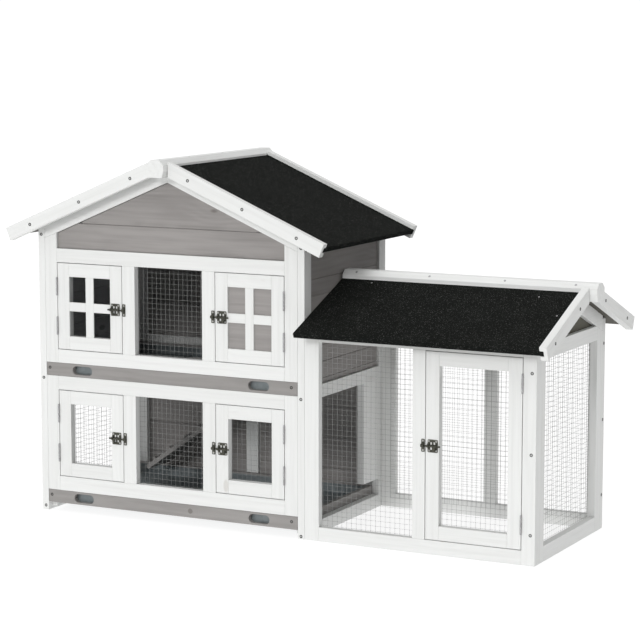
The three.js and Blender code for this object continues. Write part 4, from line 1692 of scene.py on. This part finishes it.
@dataclass(frozen=True)
class Door:
    """A framed door with two butt hinges and a barrel bolt."""

    name: str
    hole: Window
    hand: float
    fill: Fill
    gap: float = 1.8
    stile: float = 36.5
    rail: float = 36.0
    muntin: float = 24.5
    muntin_depth: float = 4.0
    timber: float = 20.0
    lap: float = 12.0
    hinge_height: float = 50.0
    hinge_inset: float = 38.5
    hinge_radius: float = 2.4
    hinge_stand: float = 2.8
    fixed_leaf: float = 0.3
    door_leaf: float = 0.55
    leaf_reach: float = 18.0
    bolt_radius: float = 2.3
    bolt_length: float = 41.0
    bolt_stand: float = 5.0
    bolt_draw: float = 0.5
    tongue_back: float = 25.5
    tongue_depth: float = 2.4
    plate_span: Flat = (33.8, 5.8)
    plate_half: float = 16.5
    plate_sheet: float = 1.1
    strap: float = 4.6
    strap_half: float = 7.5
    slit_across: Flat = (2.2, 6.6)
    slit_feet: Flat = (3.6, -9.6)
    slit_height: float = 6.0
    keeper_gap: float = 2.1
    keeper_width: float = 9.6
    plate_screws: Flat = (30.0, 9.6)
    plate_screw_rise: float = 12.0

    @property
    def body(self) -> str:
        """The body that the door rides on."""
        return f"{self.name}_door"

    @property
    def edges(self) -> Window:
        """The door's left, foot, right and top."""
        x0, z0, x1, z1 = self.hole
        return x0 + self.gap, z0 + self.gap, x1 - self.gap, z1 - self.gap

    @property
    def closing(self) -> float:
        """The closing edge."""
        return self.edges[2] if self.hand > 0 else self.edges[0]

    @property
    def axis(self) -> float:
        """Where the hinge pins stand."""
        x0, _, x1, _ = self.hole
        return x0 + self.gap / 2 if self.hand > 0 else x1 - self.gap / 2

    @property
    def middle(self) -> float:
        """The height of the bolt."""
        return (self.edges[1] + self.edges[3]) / 2

    def build(self, shop: Workshop) -> None:
        """Makes the door with its fill and hardware."""
        self._frame(shop)
        self._filling(shop)
        self._hinges(shop)
        self._bolt(shop)
        self._plates(shop)

    def _frame(self, shop: Workshop) -> None:
        """Makes the stiles, the rails and, round small panes, the muntins."""
        x0, z0, x1, z1 = self.edges
        piece = Piece.of(f"{self.name}_door_frame")
        deep = (0.0, self.timber)
        for x in (x0, x1 - self.stile):
            piece.stick(FRONT, (x, x + self.stile), (z0, z1), deep)
        inside = (x0 + self.stile, x1 - self.stile)
        window = (z0 + self.rail, z1 - self.rail)
        for rail in ((z0, window[0]), (window[1], z1)):
            piece.stick(FRONT, inside, rail, deep, Grain.ACROSS)
        if self.fill is not Fill.WIRE:
            half = self.muntin / 2
            cx, cz = (inside[0] + inside[1]) / 2, (window[0] + window[1]) / 2
            thin = (0.0, self.muntin_depth)
            piece.stick(FRONT, (cx - half, cx + half), window, thin, ease=0.5)
            for span in ((inside[0], cx - half), (cx + half, inside[1])):
                piece.stick(FRONT, span, (cz - half, cz + half), thin, Grain.ACROSS, 0.5)
        piece.made(shop, Finish.PAINT, self.body)

    def _filling(self, shop: Workshop) -> None:
        """Makes the pane, the board or the wire behind the frame."""
        x0, z0, x1, z1 = self.edges
        lap = self.lap if self.fill is Fill.WIRE else -FIT
        low = (x0 + self.stile - lap, z0 + self.rail - lap)
        high = (x1 - self.stile + lap, z1 - self.rail + lap)
        piece = Piece.of(f"{self.name}_door_{self.fill.value}")
        face = FIT + (self.timber if self.fill is Fill.WIRE else self.muntin_depth)
        if self.fill is Fill.WIRE:
            WeldedWire().fill(piece, FRONT, low, high, face)
        else:
            thick, ease = (6.0, 0.6) if self.fill is Fill.BOARD else (3.0, 0.3)
            piece.prism(FRONT, rectangle(*low, *high), face, face + thick, Grain.ACROSS, ease)
        node = f"{self.name}_door_{self.fill.value}"
        piece.made(shop, self.fill.finish, self.body)

    def _hinges(self, shop: Workshop) -> None:
        """Makes the two hinges with their five knuckles, and the leaves on the door."""
        _, z0, _, z1 = self.edges
        leaves = Piece(f"{self.name}_door_hinge_leaves")
        feet = {"top": z1 - self.hinge_inset - self.hinge_height, "bottom": z0 + self.hinge_inset}
        for name, z in feet.items():
            piece = Piece.of(f"{self.name}_door_hinge_{name}")
            place = Placement(X, Y, Z, Vector((self.axis, -self.hinge_stand, z)))
            radius, knuckle = self.hinge_radius, self.hinge_height / 5
            profile = [(radius * 0.55, 0.0), (radius * 0.62, 0.3)]
            for number in range(5):
                foot = number * knuckle
                profile += [
                    (radius * 0.8, foot + 0.35),
                    (radius, foot + 0.75),
                    (radius, foot + knuckle - 0.75),
                    (radius * 0.8, foot + knuckle - 0.35),
                ]
            profile += [(radius * 0.62, self.hinge_height - 0.3), (radius * 0.55, self.hinge_height)]
            piece.turned(place, profile)
            self._leaf(piece, -self.hand * self.fixed_leaf, z)
            piece.made(shop, Finish.HINGE)
            self._leaf(leaves, self.hand * self.door_leaf, z)
        leaves.made(shop, Finish.HINGE, self.body)

    def _leaf(self, piece: Piece, offset: float, z: float) -> None:
        """Adds one hinge leaf in the gap beside the pin's line."""
        x = self.axis + offset
        near = -self.hinge_stand + self.hinge_radius
        outline = rectangle(near, z, self.leaf_reach, z + self.hinge_height)
        piece.prism(SIDE, outline, x - 0.25, x + 0.25, Grain.UP, 0.1)

    def _bolt(self, shop: Workshop) -> None:
        """Makes the sliding rod with its hanging tongue."""
        tip = self.closing - self.hand * self.bolt_draw
        place = Placement(Y, Z, X * -self.hand, Vector((tip, -self.bolt_stand, self.middle)))
        radius, length = self.bolt_radius, self.bolt_length
        ends = [(0.45, 0.0), (0.8, 0.35), (0.97, 0.9), (1.0, 1.6)]
        profile = [(radius * share, depth) for share, depth in ends]
        profile += [(radius * share, length - depth) for share, depth in reversed(ends)]
        piece = Piece.of(f"{self.name}_door_bolt")
        piece.turned(place, profile)
        x = tip - self.hand * self.tongue_back
        half = [(2.2, 0.5), (2.5, -11.0), (1.4, -14.0)]
        tongue = [(x - u, self.middle + v) for u, v in half]
        tongue += [(x + u, self.middle + v) for u, v in reversed(half)]
        near = -self.bolt_stand - radius
        piece.prism(FRONT, tongue, near, near + self.tongue_depth, Grain.UP, 0.5)
        piece.made(shop, Finish.BOLT, f"{self.name}_bolt")

    def _hoop(self, width: float) -> list[Flat]:
        """The section of a strap that bridges the rod: outwards, and up from the rod's line."""
        out, clear, thick = self.bolt_stand, self.bolt_radius + 0.5, 1.3
        angles = [math.pi * i / 8 - math.pi / 2 for i in range(9)]
        outer = [(out + (clear + thick) * math.cos(a), (clear + thick) * math.sin(a)) for a in angles]
        inner = [(out + clear * math.cos(a), clear * math.sin(a)) for a in reversed(angles)]
        foot = clear + thick
        lower = [(1.15, -clear), (1.15, -width), (2.3, -width), (2.3, -foot)]
        upper = [(2.3, foot), (2.3, width), (1.15, width), (1.15, clear)]
        return lower + outer + upper + inner

    def _plates(self, shop: Workshop) -> None:
        """Makes the bolt's plate with its two straps on the door, and the keeper on the frame."""
        out = Placement(-Y, Z, X, Z * self.middle)
        plate = Piece(f"{self.name}_bolt_plate")
        left, right = sorted(self.closing - self.hand * edge for edge in self.plate_span)
        centre = (left + right) / 2
        slits = []
        for side in (-1.0, 1.0):
            for low in self.slit_feet:
                u0, u1 = sorted(centre + side * edge for edge in self.slit_across)
                foot = self.middle + low
                slits.append(rectangle(u0, foot, u1, foot + self.slit_height))
        self._sheet(plate, left, right, 3.0, slits)
        for x in (left + 0.2, right - 0.2 - self.strap):
            plate.prism(out, self._hoop(self.strap_half), x, x + self.strap, Grain.UP, 0.0)
        plate.made(shop, Finish.BOLT, self.body)
        keeper = Piece(f"{self.name}_bolt_keeper")
        first = self.closing + self.hand * self.keeper_gap
        left, right = sorted((first, first + self.hand * self.keeper_width))
        self._sheet(keeper, left, right, 2.0)
        keeper.prism(out, self._hoop(self.strap_half), left + 0.6, right - 0.6, Grain.UP, 0.0)
        keeper.made(shop, Finish.BOLT)
        heads = Piece(f"{self.name}_bolt_screws")
        for edge in self.plate_screws:
            self._screws(heads, self.closing - self.hand * edge)
        heads.made(shop, Finish.PIN, self.body)
        pins = Piece(f"{self.name}_keeper_screws")
        self._screws(pins, (left + right) / 2)
        pins.made(shop, Finish.PIN)

    def _sheet(
        self, piece: Piece, left: float, right: float, corner: float, slits: Sequence[Sequence[Flat]] = ()
    ) -> None:
        """Adds the flat sheet of a plate or a keeper."""
        base = rectangle(left, self.middle - self.plate_half, right, self.middle + self.plate_half)
        piece.prism(FRONT, eased(base, corner), -self.plate_sheet, 0.0, Grain.UP, 0.3, slits)

    def _screws(self, piece: Piece, x: float) -> None:
        """Adds the lower and the upper screw at one place across."""
        for z in (self.middle - self.plate_screw_rise, self.middle + self.plate_screw_rise):
            Screw(2.5, 0.45).drive(piece, FRONT, x, z, -self.plate_sheet)


# ---- Studio ---------------------------------------------------------------------------------


@dataclass(frozen=True)
class Studio:
    """The pale floor, the soft lights and the camera."""

    lens: float = 129.94
    camera_at: tuple[float, float, float] = (2.7839, -5.4285, 1.3806)
    yaw: float = 27.07
    dip: float = 7.85
    floor_radius: float = 26.0
    sky: float = 0.3
    dim_sky: float = 0.06
    dimming: Flat = (-0.35, 0.75)
    overhead: float = 1.05
    key_strength: float = 1.0
    key_spread: float = 14.0
    key_at: tuple[float, float, float] = (-0.1, -4.9, 2.25)
    key_aim: tuple[float, float, float] = (0.0, 0.0, 0.45)
    surround_glow: float = 1.05

    def build(self) -> None:
        """Makes the whole studio."""
        bpy.context.scene.view_settings.view_transform = "Standard"
        self._floor()
        self._surround()
        self._sky()
        self._key()
        self._camera()

    def _floor(self) -> None:
        """Makes the floor as one round sheet just under the hutch."""
        mesh = bpy.data.meshes.new("floor")
        rim = [(x, y, -0.0004) for x, y in circle(0.0, 0.0, self.floor_radius, 64)]
        mesh.from_pydata(rim, [], [tuple(range(64))])
        self._stand(mesh, "floor", Paper().dress())

    def _surround(self) -> None:
        """Makes the white surround that only the camera sees."""
        rings, sides, points, faces = 14, 48, [], []
        for ring in range(rings + 1):
            angle = math.pi * ring / rings - math.pi / 2
            radius = self.floor_radius * 1.1 * math.cos(angle)
            height = self.floor_radius * math.sin(angle)
            points += [(x, y, height) for x, y in circle(0.0, 0.0, max(radius, 0.01), sides)]
        for ring in range(rings):
            for i in range(sides):
                a, b = ring * sides + i, ring * sides + (i + 1) % sides
                faces.append((a, a + sides, b + sides, b))
        mesh = bpy.data.meshes.new("surround")
        mesh.from_pydata(points, [], faces)
        white = Recipe("surround_white").surface(
            Base_Color=BLACK,
            Specular_IOR_Level=0.0,
            Emission_Color=WHITE,
            Emission_Strength=self.surround_glow,
        )
        obj = self._stand(mesh, "surround", white)
        obj.visible_diffuse = False
        obj.visible_glossy = False
        obj.visible_shadow = False
        obj.visible_transmission = False

    @staticmethod
    def _stand(mesh: bpy.types.Mesh, name: str, material: bpy.types.Material) -> bpy.types.Object:
        """Puts a stage mesh in the scene with its material."""
        mesh.materials.append(material)
        obj = bpy.data.objects.new(name, mesh)
        bpy.context.scene.collection.objects.link(obj)
        return obj

    def _sky(self) -> None:
        """Makes the soft light all round, dimmer on the right."""
        recipe = Recipe("studio", for_world=True)
        bpy.context.scene.world = recipe.owner
        where = recipe.node("ShaderNodeTexCoord", "Generated")
        right = recipe.node("ShaderNodeSeparateXYZ", "X", None, {"Vector": where})
        level = right.rise(*self.dimming) * (self.dim_sky - self.sky) + self.sky
        strength = right.output("Z") * self.overhead + level
        sockets = {"Color": WHITE, "Strength": strength}
        light = recipe.node("ShaderNodeBackground", "Background", None, sockets)
        recipe.node("ShaderNodeOutputWorld", None, None, {"Surface": light})

    def _key(self) -> None:
        """Makes the broad, soft and distant light at the front left."""
        light = bpy.data.lights.new("key", "SUN")
        light.angle = math.radians(self.key_spread)
        light.energy = self.key_strength
        obj = bpy.data.objects.new("key", light)
        bpy.context.scene.collection.objects.link(obj)
        self._aim(obj, Vector(self.key_at), Vector(self.key_aim) - Vector(self.key_at))

    def _camera(self) -> None:
        """Makes the camera."""
        camera = bpy.data.cameras.new("camera")
        camera.lens = self.lens
        camera.sensor_width = 36.0
        camera.clip_end = 100.0
        obj = bpy.data.objects.new("camera", camera)
        bpy.context.scene.collection.objects.link(obj)
        yaw, dip = math.radians(self.yaw), math.radians(self.dip)
        aim = Vector((-math.sin(yaw) * math.cos(dip), math.cos(yaw) * math.cos(dip), -math.sin(dip)))
        self._aim(obj, Vector(self.camera_at), aim)
        bpy.context.scene.camera = obj

    @staticmethod
    def _aim(obj: bpy.types.Object, at: Vector, aim: Vector) -> None:
        """Places a light or camera that looks along a direction."""
        obj.location = at
        obj.rotation_mode = "QUATERNION"
        obj.rotation_quaternion = aim.to_track_quat("-Z", "Y")


# ---- The whole ------------------------------------------------------------------------------


def main() -> None:
    """Builds the studio, then each sub-assembly in order."""
    logging.basicConfig(level=logging.INFO, format="%(name)s: %(message)s")
    Studio().build()
    shop = Workshop({finish: finish.dress() for finish in Finish})
    house, run = House(), Run()
    house.build(shop)
    Tray("lower", house.tray_bases[0], plug=(468.0, 18.0)).build(shop)
    Tray("upper", house.tray_bases[1], hatch=(230.0, 300.0, 640.0, 430.0)).build(shop)
    Ramp().build(shop)
    run.build(shop)
    run_hole = (run.mid_stile[1], run.sill, run.right - run.right_stile, run.opening_top)
    doors = [
        Door("upper_left", house.window(house.upper, 0), 1.0, Fill.ACRYLIC),
        Door("upper_right", house.window(house.upper, 2), -1.0, Fill.BOARD),
        Door("lower_left", house.window(house.lower, 0), 1.0, Fill.WIRE),
        Door("lower_right", house.window(house.lower, 2), -1.0, Fill.WIRE),
        Door("run", run_hole, -1.0, Fill.WIRE),
    ]
    for door in doors:
        door.build(shop)
    LOG.info("%d pieces made", shop.count)


if __name__ == "__main__":
    main()
